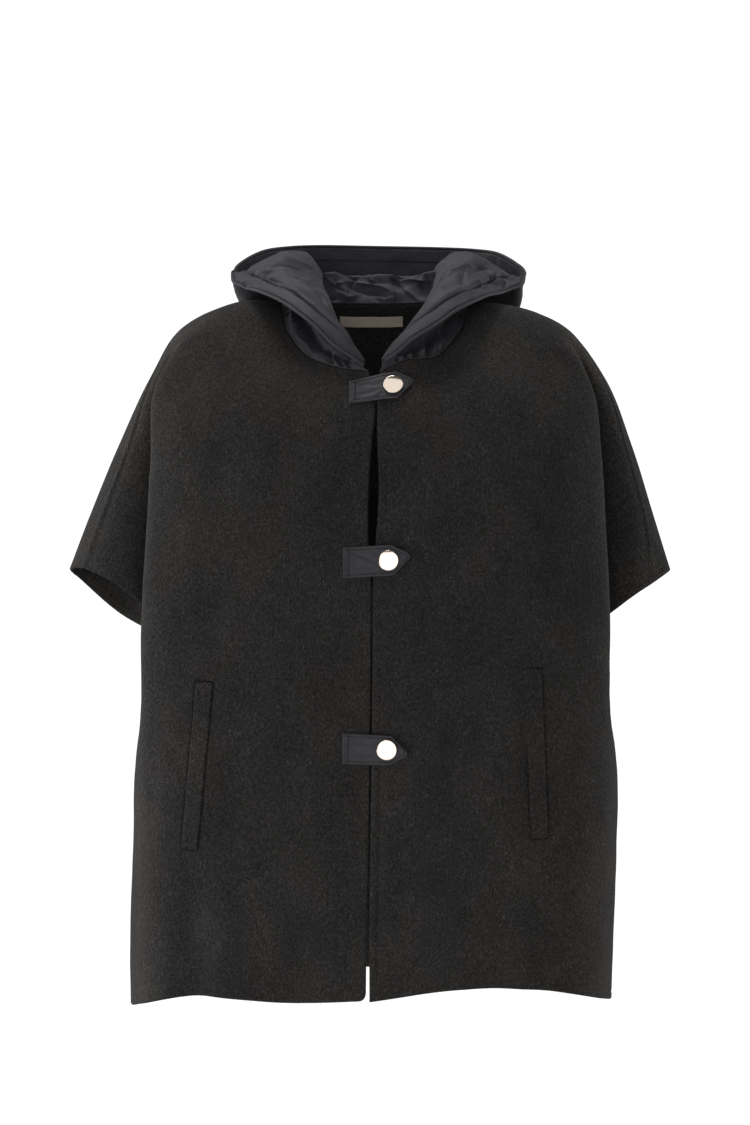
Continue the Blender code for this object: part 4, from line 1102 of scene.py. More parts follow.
class FrontReader:
    """Reads the fronts' outer face at any x and z, at most the reach past a read point, in grid steps."""

    reach = 0.6

    def __init__(self, plan: ClothPlan) -> None:
        """Read close-set points on both fronts."""
        self.patches = [self.patch(plan, 0.0, LANES["fold"]), self.patch(plan, ROUND - LANES["fold"], ROUND)]

    @staticmethod
    def patch(plan: ClothPlan, low: float, high: float) -> ArrayPair:
        """Points and normals of one front's body, [level, lane]."""
        lanes = np.linspace(low, high, 90)
        upper = plan.cloth(np.linspace(NECK, UNDERARM, 120), lanes, False)
        lower = plan.cloth(np.linspace(UNDERARM, HEM, 111)[1:], lanes, True)
        return np.concatenate([upper[0], lower[0]]), np.concatenate([upper[1], lower[1]])

    def read(self, x: float, z: float) -> ArrayPair:
        """Point and normal of the front at x and z; past a front edge, those of the edge."""
        points, normals = self.patches[0 if x < 0 else 1]
        apart = (points[..., 0] - x) ** 2 + (points[..., 2] - z) ** 2
        row, column = np.unravel_index(np.argmin(apart), apart.shape)
        next_row = row + 1 if row + 1 < points.shape[0] else row - 1
        next_column = column + 1 if column + 1 < points.shape[1] else column - 1
        here = points[row, column]
        down = points[next_row, column] - here
        across = points[row, next_column] - here
        steps = np.array([[down[0], across[0]], [down[2], across[2]]])
        shares = np.clip(np.linalg.solve(steps, (x - here[0], z - here[2])), -self.reach, self.reach)
        return here + shares[0] * down + shares[1] * across, normals[row, column]

    def bridge(self, x: float, z: float, right: float = -6.0, left: float = 10.0) -> Array:
        """The fronts' outer point at x and z, straight across the opening between them."""
        right_point = self.read(min(x, right), z)[0]
        left_point = self.read(max(x, left), z)[0]
        if x <= right:
            return right_point
        if x >= left:
            return left_point
        return right_point + (left_point - right_point) * (x - right) / (left - right)


# ---- Wool panels ----


# Fine creases of the wool: lane and level of both ends, width and depth
FRONT_CREASES = tuple(Crease(*row) for row in (
    ((366, 112), (367, 416), 3.2, -1.4), ((359, 116), (360, 414), 4.0, 0.45),
    ((1214, 112), (1213, 416), 3.2, -1.0), ((1221, 116), (1220, 414), 4.0, 0.35),
    ((200, 60), (226, 190), 10, 1.2), ((150, 95), (176, 250), 14, 0.9), ((120, 430), (150, 700), 16, 0.8),
    ((60, 520), (52, 760), 14, -0.6), ((215, 520), (232, 700), 10, 1.0), ((320, 210), (312, 330), 8, 1.0),
    ((1360, 70), (1340, 200), 10, 1.2), ((1420, 110), (1398, 260), 14, 0.9),
    ((1450, 440), (1432, 690), 15, 0.8), ((1530, 500), (1524, 740), 12, -0.6),
    ((1362, 540), (1352, 720), 10, 1.0), ((1262, 220), (1268, 330), 8, 1.0),
))
BACK_CREASES = tuple(Crease(*row) for row in (
    ((600, 150), (640, 420), 16, 1.4), ((690, 250), (710, 640), 18, 1.2), ((980, 150), (940, 430), 16, 1.4),
    ((880, 260), (862, 660), 18, 1.2), ((480, 190), (470, 330), 8, 1.0), ((1102, 190), (1110, 330), 8, 1.0),
    ((760, 480), (772, 790), 16, -0.8), ((548, 440), (560, 760), 12, 1.2),
    ((1032, 440), (1020, 760), 12, 1.2),
))


@dataclass(frozen=True)
class WeltPlace:
    """Where a pocket welt lies: the middles of its ends in x and z, its width and its outer side."""

    top: Pair
    bottom: Pair
    width: float
    outward: float

    def apart(self, x: Array, z: Array) -> ArrayPair:
        """Distance of each x and z from the welt's outline, below 0 inside it, and the place across it."""
        top, bottom = np.array(self.top), np.array(self.bottom)
        length = float(np.linalg.norm(bottom - top))
        along = (bottom - top) / length
        down = (x - top[0]) * along[0] + (z - top[1]) * along[1]
        across = ((x - top[0]) * along[1] - (z - top[1]) * along[0]) * -self.outward
        beside = np.abs(across) - self.width / 2
        past = np.abs(down - length / 2) - length / 2
        outside = np.hypot(np.maximum(beside, 0), np.maximum(past, 0))
        return outside + np.minimum(np.maximum(beside, past), 0), across


WELTS = dict(
    right=WeltPlace((-173.5, -402.5), (-189.8, -576.2), 16.9, -1.0),
    left=WeltPlace((168.2, -389.1), (175.5, -564.2), 16.6, 1.0),
)


@dataclass
class WoolPanel:
    """A panel of the body with the sleeve cut in one: body lanes, and sleeve lanes on either side."""

    name: str
    plan: ClothPlan
    lanes_before: Pair | None
    body: Pair
    lanes_after: Pair | None
    creases: tuple[Crease, ...]
    flat: Pair
    free_sides: tuple[bool, bool]
    step: float = 5.0
    edge_steps: tuple[float, ...] = (0.5, 1.1, 2.0, 3.2)
    felled_steps: tuple[float, ...] = (-1.2, 0.0, 1.2)
    least_step: float = 0.4
    edge_round: float = 2.0
    edge_thinning: float = 0.78
    seam_round: float = 1.6
    seam_thinning: float = 0.35
    felled_width: float = 8.5
    felled_depth: float = 0.45
    felled_spread: float = 1.5
    calm_by_seam: float = 12.0
    swell: float = 0.55
    swell_size: Point = (42.0, 60.0, 95.0)
    ripple: float = 0.35
    ripple_size: Point = (14.0, 20.0, 24.0)
    facing_depth: float = 0.0
    facing_inset: float = 9.0
    facing_width: float = 2.0
    facing_top: Pair = (470.0, 600.0)
    facing_bottom: Pair = (806.0, 770.0)
    close_lanes: Pair | None = None
    close_levels: tuple[Pair, ...] = ()
    close_step: float = 0.9
    ridge_lanes: Pair | None = None
    ridge_step: float = 1.8
    welt: WeltPlace | None = None
    groove_depth: float = 2.2
    corner_radius: float = 0.0
    sewn_to: tuple[str, ...] = ("back_cloth",)
    hairs: int = 22000
    hair_seed: int = 7

    @property
    def close_steps(self) -> tuple[float, ...]:
        """How far in from its seams and edges the panel has extra rows of points."""
        return self.edge_steps + tuple(self.felled_width + step for step in self.felled_steps)

    def lane_places(self) -> tuple[Array, int, int]:
        """Lanes across the panel, closer at seams and edges, and the body's first and last column."""
        low, high = self.body
        start = self.lanes_before[0] if self.lanes_before else low
        end = self.lanes_after[1] if self.lanes_after else high
        marks = sorted({start, low, high, end})
        places = list(runs(*[(a, b, self.step) for a, b in zip(marks, marks[1:])]))
        for mark in marks:
            for offset in self.close_steps:
                places += [place for place in (mark - offset, mark + offset) if start < place < end]
        for span, step in ((self.ridge_lanes, self.ridge_step), (self.close_lanes, self.close_step)):
            if span:
                places = denser(places, *span, step)
        lanes = np.array(sorted(set(np.round(places, 3))))
        kept = [lanes[0]]
        for lane in lanes[1:]:
            if lane - kept[-1] > self.least_step or lane in marks:
                if lane in marks and lane - kept[-1] <= self.least_step:
                    kept.pop()
                kept.append(lane)
        lanes = np.array(kept)
        return lanes, int(np.argmin(np.abs(lanes - low))), int(np.argmin(np.abs(lanes - high)))

    def level_places(self, start: float, end: float, close_start: bool) -> Array:
        """Levels down the panel, closer at its edges."""
        places = list(runs((start, end, self.step)))
        for offset in self.close_steps:
            places += [end - offset, start + offset] if close_start else [end - offset]
        for low, high in self.close_levels:
            if start <= low and high <= end:
                places = denser(places, low, high, self.close_step)
        return np.array(sorted(set(np.round(places, 3))))

    def build(self, finishes: Finishes) -> None:
        """Build the panel and its hairs.

        Args:
            finishes: The garment's finishes.
        """
        lanes, first, last = self.lane_places()
        upper_levels = self.level_places(NECK, UNDERARM, True)
        lower_levels = self.level_places(UNDERARM, HEM, False)
        body = lanes[first : last + 1]
        upper, upper_normals = self.plan.cloth(upper_levels, lanes, False)
        lower, lower_normals = self.plan.cloth(lower_levels, body, True)
        turn = len(upper_levels) - 1
        total = turn + len(lower_levels)
        points = np.zeros((total, len(lanes), 3))
        normals = np.zeros_like(points)
        points[: turn + 1], normals[: turn + 1] = upper, upper_normals
        points[turn + 1 :, first : last + 1] = lower[1:]
        normals[turn + 1 :, first : last + 1] = lower_normals[1:]
        levels = np.concatenate([upper_levels, lower_levels[1:]])
        cells = np.ones((total - 1, len(lanes) - 1), bool)
        cells[turn:, :first] = False
        cells[turn:, last:] = False
        weave = hung_places(points)
        self.shift_seams(points, normals, turn, first, last)
        self.round_corner(points, lanes, levels)
        walls = self.plan.wall_at(points)
        relief = self.relief(points, lanes, levels)
        edge, seam = self.edge_distances(points, turn, first, last)
        relief += self.felled_depth * np.exp(-(((edge - self.felled_width) / self.felled_spread) ** 2))
        relief *= smooth_step(0.0, self.calm_by_seam, seam) * np.clip(walls / self.plan.wool_wall, 0.4, 1.0)
        points = points - normals * relief[..., None]
        thin = 1 - self.edge_thinning * (1 - smooth_step(0.0, self.edge_round, edge)) ** 2
        thin = np.minimum(thin, 1 - self.seam_thinning * (1 - smooth_step(0.0, self.seam_round, seam)) ** 2)
        half = (walls / 2)[..., None]
        middle = points - normals * half
        outer = middle + normals * half * thin[..., None]
        inner = middle - normals * half * thin[..., None]
        shape = wall(outer, inner, weave, cells)
        panel = dress(shape.mesh(self.name + "_cloth", finishes.wool), "wool", self.name)
        lean = (0.0, 0.4 if self.name == "back" else -0.4, -1.0)
        hairs = Nap(self.name + "_nap", self.hairs, self.hair_seed, lean)
        nap = dress(hairs.build(outer, normals, cells, finishes.nap), "wool")
        shown_area(panel, self.flat)

    def shift_seams(self, points: Array, normals: Array, turn: int, first: int, last: int) -> None:
        """Move the points of each sewn seam into their own piece by half the seam's gap."""
        wide = points.shape[1]
        seams = []
        if first > 0:
            seams += [(slice(0, turn + 1), 0, 1), (slice(turn, None), first, first + 1)]
        if last < wide - 1:
            seams += [(slice(0, turn + 1), wide - 1, wide - 2), (slice(turn, None), last, last - 1)]
        for rows, column, beside in seams:
            edge, normal = points[rows, column], normals[rows, column]
            points[rows, column] = self.plan.pulled_in(edge, normal, points[rows, beside])

    def round_corner(self, points: Array, lanes: Array, levels: Array) -> None:
        """Round the hem's corner at the panel's first free edge."""
        radius = self.corner_radius
        columns = np.nonzero(lanes < radius)[0]
        rows = np.nonzero(levels > HEM - radius)[0]
        if not radius or not len(columns):
            return
        across = unit(points[-1, columns[-1] + 1] - points[-1, 0])
        down = unit(points[-1, 0] - points[rows[0] - 1, 0])
        for row in rows:
            for column in columns:
                sides = np.array((radius - lanes[column], radius - (HEM - levels[row])))
                drawn = sides * (sides.max() / max(float(np.linalg.norm(sides)), 1e-6) - 1)
                points[row, column] += -across * drawn[0] + down * drawn[1]

    def edge_distances(self, points: Array, turn: int, first: int, last: int) -> ArrayPair:
        """Distance of each point from the panel's free edges, and from its sewn seams."""
        far = np.full(points.shape[:2], 1e3)
        edge, seam = far.copy(), far.copy()
        wide = points.shape[1] - 1

        def from_row(least: Array, row: int, columns: slice, rows: slice) -> None:
            apart = np.linalg.norm(points[rows, columns] - points[row, columns][None], axis=-1)
            least[rows, columns] = np.minimum(least[rows, columns], apart)

        def from_column(least: Array, column: int, rows: slice) -> None:
            apart = np.linalg.norm(points[rows] - points[rows, column][:, None], axis=-1)
            least[rows] = np.minimum(least[rows], apart)

        from_row(edge, 0, slice(None), slice(0, turn + 1))
        from_row(edge, -1, slice(first, last + 1), slice(turn, None))
        if first > 0:
            from_row(edge, turn, slice(0, first + 1), slice(0, turn + 1))
        if last < wide:
            from_row(edge, turn, slice(last, None), slice(0, turn + 1))
        for column, free in ((0, self.free_sides[0]), (wide, self.free_sides[1])):
            from_column(edge if free else seam, column, slice(0, turn + 1))
        for column, free in ((first, self.free_sides[0]), (last, self.free_sides[1])):
            from_column(edge if free else seam, column, slice(turn, None))
        return edge, seam

    def relief(self, points: Array, lanes: Array, levels: Array) -> Array:
        """Depth of the creases, the cloth's slight swell, the facing and the welt's groove."""
        lane, level = np.meshgrid(lanes, levels)
        depth = crease_depth(self.creases, lane, level)
        depth += self.swell * rough(points / np.array(self.swell_size), 3.7)
        depth += self.ripple * self.swell * rough(points / np.array(self.ripple_size), 9.1)
        if self.facing_depth:
            strip = np.exp(-(((ROUND - lane - self.facing_inset) / self.facing_width) ** 2))
            strip = strip * smooth_step(*self.facing_top, level)
            depth += self.facing_depth * strip * smooth_step(*self.facing_bottom, level)
        if self.welt:
            apart, across = self.welt.apart(points[..., 0], points[..., 2])
            side = 0.8 + 0.45 * smooth_step(0.0, self.welt.width / 2, across)
            groove = self.groove_depth * side * np.exp(-(((apart - 0.7) / 1.0) ** 2))
            depth += np.where(level > UNDERARM, groove + 0.4 * (apart < 0), 0.0)
        return depth


@dataclass
class Nap:
    """Hairs that lie down the wool, mostly along the nap, as slim bent blades."""

    name: str
    count: int
    seed: int
    lean: Point = (0.0, -0.4, -1.0)
    length: Pair = (2.5, 9.0)
    width: Pair = (0.07, 0.17)
    lift: float = 0.16
    spread: float = 0.55
    stray_share: float = 0.16
    bend: float = 0.7
    sink: float = 0.1
    middle_width: float = 0.8

    def build(self, outer: Array, normals: Array, cells: Array,
              material: Material) -> Piece:
        """Scatter the hairs over the kept cells of a grid.

        Args:
            outer: Outer points, [row, column].
            normals: Outward normals there.
            cells: Which cells are kept.
            material: The hairs' finish.

        Returns:
            All hairs as one object.
        """
        pick = np.random.default_rng(self.seed)
        rows, columns = np.nonzero(cells)
        a, b, d = outer[rows, columns], outer[rows, columns + 1], outer[rows + 1, columns]
        areas = np.linalg.norm(np.cross(b - a, d - a), axis=1)
        chosen = pick.choice(len(rows), self.count, p=areas / areas.sum())
        u, v = pick.random((2, self.count, 1))
        a, b, d = a[chosen], b[chosen], d[chosen]
        root = a + u * (b - a) + v * (d - a)
        normal = normals[rows[chosen], columns[chosen]]
        lean = np.array(self.lean)
        down = unit(lean - normal * (normal @ lean)[:, None])
        side = unit(np.cross(normal, down))
        each = (self.count, 1)
        angle = pick.normal(0.0, self.spread, each)
        stray = pick.random(each) < self.stray_share
        angle = np.where(stray, pick.uniform(-math.pi, math.pi, each), angle)
        turn = pick.normal(0.0, self.bend, each)
        size = self.length[0] + (self.length[1] - self.length[0]) * pick.random(each) ** 2
        half = 0.5 * (self.width[0] + (self.width[1] - self.width[0]) * pick.random(each) ** 2)
        lift = self.lift * np.abs(pick.normal(0.6, 0.5, each))
        first = unit(down * np.cos(angle) + side * np.sin(angle) + normal * lift)
        second = unit(down * np.cos(angle + turn) + side * np.sin(angle + turn) + normal * 0.3 * lift)
        across = unit(np.cross(normal, first))
        root = root - normal * self.sink
        middle = root + first * size * 0.5
        tip = middle + second * size * 0.5
        low, high = across * half, across * half * self.middle_width
        blade = np.stack([root - low, root + low, middle - high, middle + high, tip], axis=1).reshape(-1, 3)
        start = 5 * np.arange(self.count)[:, None]
        tone = np.repeat(pick.random(self.count), 5)
        shape = Shape()
        shape.add(blade, np.concatenate([start, start + 1, start + 3, start + 2], axis=1), tone=tone)
        shape.faces.append(np.concatenate([start + 2, start + 3, start + 4], axis=1))
        return shape.mesh(self.name, material)


# ---- Hood ----


# Folds of the hood, through (lane, place) spots. Places count from the seam over the ridge to the rim.
RIGHT_HOOD_FOLDS = tuple(HoodFold(*row) for row in (
    # Above the front neck seam, from the shoulder to the opening
    (((312, 4), (290, 6), (268, 8)), 2.4, -3.4), (((284, 14), (262, 10), (226, 5)), 3.6, 3.0),
    (((252, 16), (226, 13), (214, 9)), 3.0, -3.0), (((218, 4), (178, 8), (150, 5)), 4.4, 3.4),
    (((222, 17), (190, 13.5), (146, 12), (134, 5)), 4.4, -5.4), (((152, 14), (136, 8), (127, 3)), 2.4, 2.8),
    (((140, 18), (118, 11), (103, 3)), 2.8, -4.0), (((120, 14), (104, 9), (93, 3)), 2.2, 2.4),
    (((104, 13), (88, 8), (76, 2)), 2.3, -3.0), (((86, 11), (66, 3)), 1.8, 1.6),
    (((74, 11), (56, 3)), 1.8, -2.0),
    # On the turned flap
    (((384, 82), (372, 69), (368, 58), (352, 50)), 2.4, -0.9),
    (((352, 90), (336, 78), (330, 66), (318, 57)), 1.7, 0.9),
    (((340, 92), (322, 80), (314, 68), (300, 58)), 3.6, -0.8),
    (((280, 87), (260, 74), (246, 64), (224, 57), (188, 58)), 1.7, 1.5),
    (((272, 92), (250, 80), (236, 70), (214, 63), (186, 64)), 3.2, -0.9),
    (((224, 72), (208, 66), (184, 68)), 1.5, 1.3), (((250, 96), (226, 84), (196, 78)), 3.4, -0.8),
    (((394, 108), (356, 104), (316, 109)), 3.2, 1.3), (((310, 112), (326, 102), (342, 90)), 2.6, 1.2),
    (((372, 100), (350, 98), (338, 102)), 3.4, -1.1), (((300, 109), (256, 107)), 2.0, 1.7),
    (((306, 127), (303, 148), (300, 172)), 1.1, 0.9), (((327, 132), (325, 168)), 1.3, 0.6),
    (((283, 126), (281, 160)), 1.2, 0.4), (((420, 92), (396, 70), (380, 54)), 3.0, -0.8),
    (((410, 126), (380, 140), (352, 138)), 2.4, -0.8),
))
LEFT_HOOD_FOLDS = tuple(HoodFold(*row) for row in (
    # Above the front neck seam, from the shoulder to the opening
    (((1266, 4), (1290, 5), (1314, 7)), 2.4, -3.4), (((1318, 3), (1362, 3.5), (1396, 3)), 3.2, 3.0),
    (((1340, 14), (1374, 13), (1390, 10)), 4.2, -3.6), (((1392, 22), (1426, 13), (1436, 4)), 4.2, -5.4),
    (((1394, 13), (1404, 8), (1407, 3)), 2.0, 2.2), (((1408, 15), (1417, 8), (1420, 3)), 2.0, 2.4),
    (((1441, 19), (1446, 10), (1448, 3)), 2.6, 3.2), (((1456, 18), (1464, 9), (1468, 2)), 2.6, -4.0),
    (((1473, 15), (1479, 8), (1482, 3)), 2.2, 2.3), (((1488, 13), (1495, 3)), 2.1, -2.8),
    (((1502, 11), (1508, 3)), 1.8, 1.6), (((1514, 10), (1520, 3)), 1.7, -1.8),
    # On the turned flap
    (((1250, 64), (1314, 61), (1356, 62), (1392, 59)), 2.0, 1.3),
    (((1246, 72), (1310, 67), (1350, 68)), 3.6, -0.9), (((1240, 54), (1294, 55)), 1.5, 0.7),
    (((1322, 62), (1312, 70), (1286, 76), (1264, 80), (1250, 87)), 2.3, -1.5),
    (((1290, 79), (1326, 88), (1342, 99), (1345, 110)), 2.3, 1.5),
    (((1302, 91), (1236, 92), (1206, 95)), 4.8, 1.7), (((1324, 98), (1300, 105), (1286, 128)), 4.0, -1.3),
    (((1208, 110), (1188, 119), (1181, 137), (1194, 164)), 2.3, 2.5),
    (((1222, 98), (1237, 112), (1234, 152)), 2.1, 1.8), (((1214, 104), (1210, 124), (1214, 150)), 2.6, -1.4),
    (((1303, 132), (1312, 156)), 1.1, 1.2), (((1480, 172), (1466, 164), (1456, 178)), 1.1, -0.5),
    (((1366, 84), (1400, 78)), 2.8, -0.8), (((1196, 84), (1184, 100)), 3.0, 1.2),
))
MIDDLE_HOOD_FOLDS = tuple(HoodFold(*row) for row in (
    # The strip that stands behind the neck
    (((686, 26), (762, 23), (824, 18), (868, 11)), 3.0, -2.6),
    (((700, 17), (744, 14), (806, 10), (838, 6)), 2.4, 2.6), (((742, 8), (700, 5), (660, 12)), 2.6, -1.8),
    (((640, 24), (664, 14), (690, 9)), 2.0, 2.0), (((606, 30), (640, 20), (682, 24)), 2.6, -2.0),
    (((700, 38), (722, 28), (716, 20)), 1.8, 1.8), (((770, 40), (786, 30), (804, 26)), 2.2, -1.8),
    (((800, 8), (836, 3), (880, 5)), 2.4, -1.8), (((866, 30), (886, 22), (906, 12)), 2.2, 2.4),
    (((902, 36), (940, 38), (984, 38)), 3.4, 2.8), (((904, 26), (940, 28), (990, 24)), 2.6, -2.4),
    (((956, 25), (962, 18), (970, 12)), 1.8, 2.2), (((910, 14), (936, 8), (950, 2)), 2.2, -2.0),
    (((576, 36), (600, 22), (606, 8)), 2.0, 1.8), (((1000, 34), (986, 20), (980, 8)), 2.0, 1.8),
    (((620, 8), (640, 4), (668, 3)), 2.0, 1.6),
    # Faint lines in the cloth of the deep back
    (((664, 178), (668, 150)), 6.0, -0.9), (((738, 178), (744, 152)), 6.0, 0.9),
    (((826, 178), (820, 150)), 6.0, 0.8), (((930, 178), (924, 152)), 6.0, -0.9),
    (((742, 166), (776, 162), (806, 166), (836, 160)), 3.0, -0.8), (((600, 178), (592, 156)), 4.0, 0.9),
    (((1000, 178), (1010, 156)), 4.0, 0.9),
))


@dataclass
class HoodPanel:
    """One nylon panel of the hood: a thin shell with gathers, crumples and folds."""

    name: str
    plan: ClothPlan
    lanes: Pair
    folds: tuple[HoodFold, ...]
    flat: Pair
    step: float = 2.6
    crinkle: float = 0.75
    crumple: float = 3.4
    papery_size: float = 17.0
    fine_size: float = 8.0
    facet_sizes: Pair = (46.0, 14.0)
    sharpness: float = 2.3
    dip_depth: float = 3.2
    dip_from_rim: float = 20.4
    dip_width: float = 1.2
    puff: float = 1.3
    puff_inset: float = 6.4
    puff_width: float = 3.6
    neck_recess: float = 6.0
    pucker: float = 0.9
    pleat_pitch: float = 13.0
    behind_lanes: Pair = (470.0, 600.0)
    stand_lanes: Pair = (540.0, 620.0)
    stand_places: Pair = (56.0, 46.0)
    flap_lanes: Pair = (150.0, 210.0)
    front_lanes: Span = ((46.0, 70.0), (350.0, 320.0))
    recess_places: Span = ((8.0, 17.0), (40.0, 30.0))
    pleat_places: Span = ((1.0, 4.0), (15.0, 7.0))
    side_lanes: Span = ((90.0, 150.0), (440.0, 390.0))

    def place_rows(self, lanes: Array) -> Array:
        """Places from the seam over the ridge to the rim, closer beside the band, [lane, row]."""
        band = self.plan.place_before_rim(lanes, (self.plan.band_width - 0.6,))
        near = np.minimum(self.plan.place_before_rim(lanes, (self.plan.band_width + 9.0,)), band - 3.0)
        rise = RIDGE * np.linspace(0, 1, 37)[None, :]
        fall = RIDGE + (near - RIDGE) * np.linspace(0, 1, 45)[None, 1:]
        dip = near + (band - near) * np.linspace(0, 1, 16)[None, 1:]
        end = band + (RIM - band) * np.linspace(0, 1, 9)[None, 1:]
        return np.concatenate([np.repeat(rise, len(lanes), axis=0), fall, dip, end], axis=1)

    def fold_lift(self, plain: Array) -> Array:
        """How far the listed folds lift each plain point."""
        lift = np.zeros(plain.shape[:2])
        for fold in self.folds:
            line, share = self.plan.hood_line(fold.spots)
            reach = 3.2 * fold.width
            near = np.all((plain > line.min(0) - reach) & (plain < line.max(0) + reach), axis=-1)
            if not near.any():
                continue
            apart = ((plain[near][:, None, :] - line[None]) ** 2).sum(-1)
            nearest = apart.argmin(axis=1)
            taper = np.sqrt(np.sin(math.pi * np.clip(share[nearest], 0.03, 0.97)))
            profile = np.exp(-((apart.min(axis=1) / fold.width**2) ** 0.56))
            lift[near] += self.sharpness * fold.rise * taper * profile
        return lift

    def surface(self, lanes: Array, places: Array) -> ArrayPair:
        """Outer points and normals with gathers, crumples and folds, [lane, place]."""
        plain = self.plan.hood_plain(lanes, places)
        normals = self.plan.hood_normals(lanes, places)
        lane = np.repeat(np.minimum(lanes, ROUND - lanes)[:, None], places.shape[1], axis=1)
        behind = smooth_step(*self.behind_lanes, lane)
        stand = smooth_step(*self.stand_lanes, lane) * smooth_step(*self.stand_places, places)
        papery = rough(plain / self.papery_size, 8.4)
        fine = rough(plain / self.fine_size, 2.2, ridged=True)
        large, small = facets(plain, self.facet_sizes[0], 5), facets(plain, self.facet_sizes[1], 12)
        flap = smooth_step(*self.flap_lanes, lane) * (1 - behind) * smooth_step(RIDGE, RIDGE + 6.0, places)
        lift = self.crinkle * ((0.35 + 0.75 * behind) * papery + 0.14 * fine)
        lift = lift + self.crumple * stand * (0.95 * large + 0.07 * small + 0.08 * papery)
        lift = lift + flap * (0.8 * large + 0.14 * small)
        front = between(*self.front_lanes, lane)
        lift = lift - self.neck_recess * front * between(*self.recess_places, places)
        by_seam = between(*self.pleat_places, places)
        wander = rough(np.stack([lane / 30.0, 0.12 * places, 0 * lane], axis=-1), 1.9)
        pleats = lane / self.pleat_pitch + 1.1 * wander
        waves = 4 * np.abs(pleats - np.round(pleats)) - 1
        lift = lift + self.pucker * front * by_seam * waves + self.fold_lift(plain)
        apart = self.plan.rim_distances(lanes, places)
        side = between(*self.side_lanes, lane) * (places > RIDGE)
        dip = self.dip_depth * np.exp(-(((apart - self.dip_from_rim) / self.dip_width) ** 2))
        over = self.puff * np.exp(-(((apart - self.dip_from_rim - self.puff_inset) / self.puff_width) ** 2))
        lift = (lift + side * (dip - over)) * smooth_step(0.0, 5.0, places)
        lift = lift * (0.2 + 0.8 * smooth_step(1.0, 8.0, apart))
        return plain + normals * lift[..., None], normals

    def build(self, finishes: Finishes) -> None:
        """Build the panel.

        Args:
            finishes: The garment's finishes.
        """
        low, high = self.lanes
        lanes = runs((low, high, self.step))
        places = self.place_rows(lanes)
        points, normals = self.surface(lanes, places)
        for lane, edge, beside in ((low, 0, 1), (high, -1, -2)):
            if lane in PANEL_SEAMS:
                points[edge] = self.plan.pulled_in(points[edge], normals[edge], points[beside])
        shape = wall(points, points - self.plan.nylon_wall * normals, cloth_places(points))
        panel = dress(shape.mesh(self.name + "_cloth", finishes.nylon), "nylon", self.name)
        shown_area(panel, self.flat)


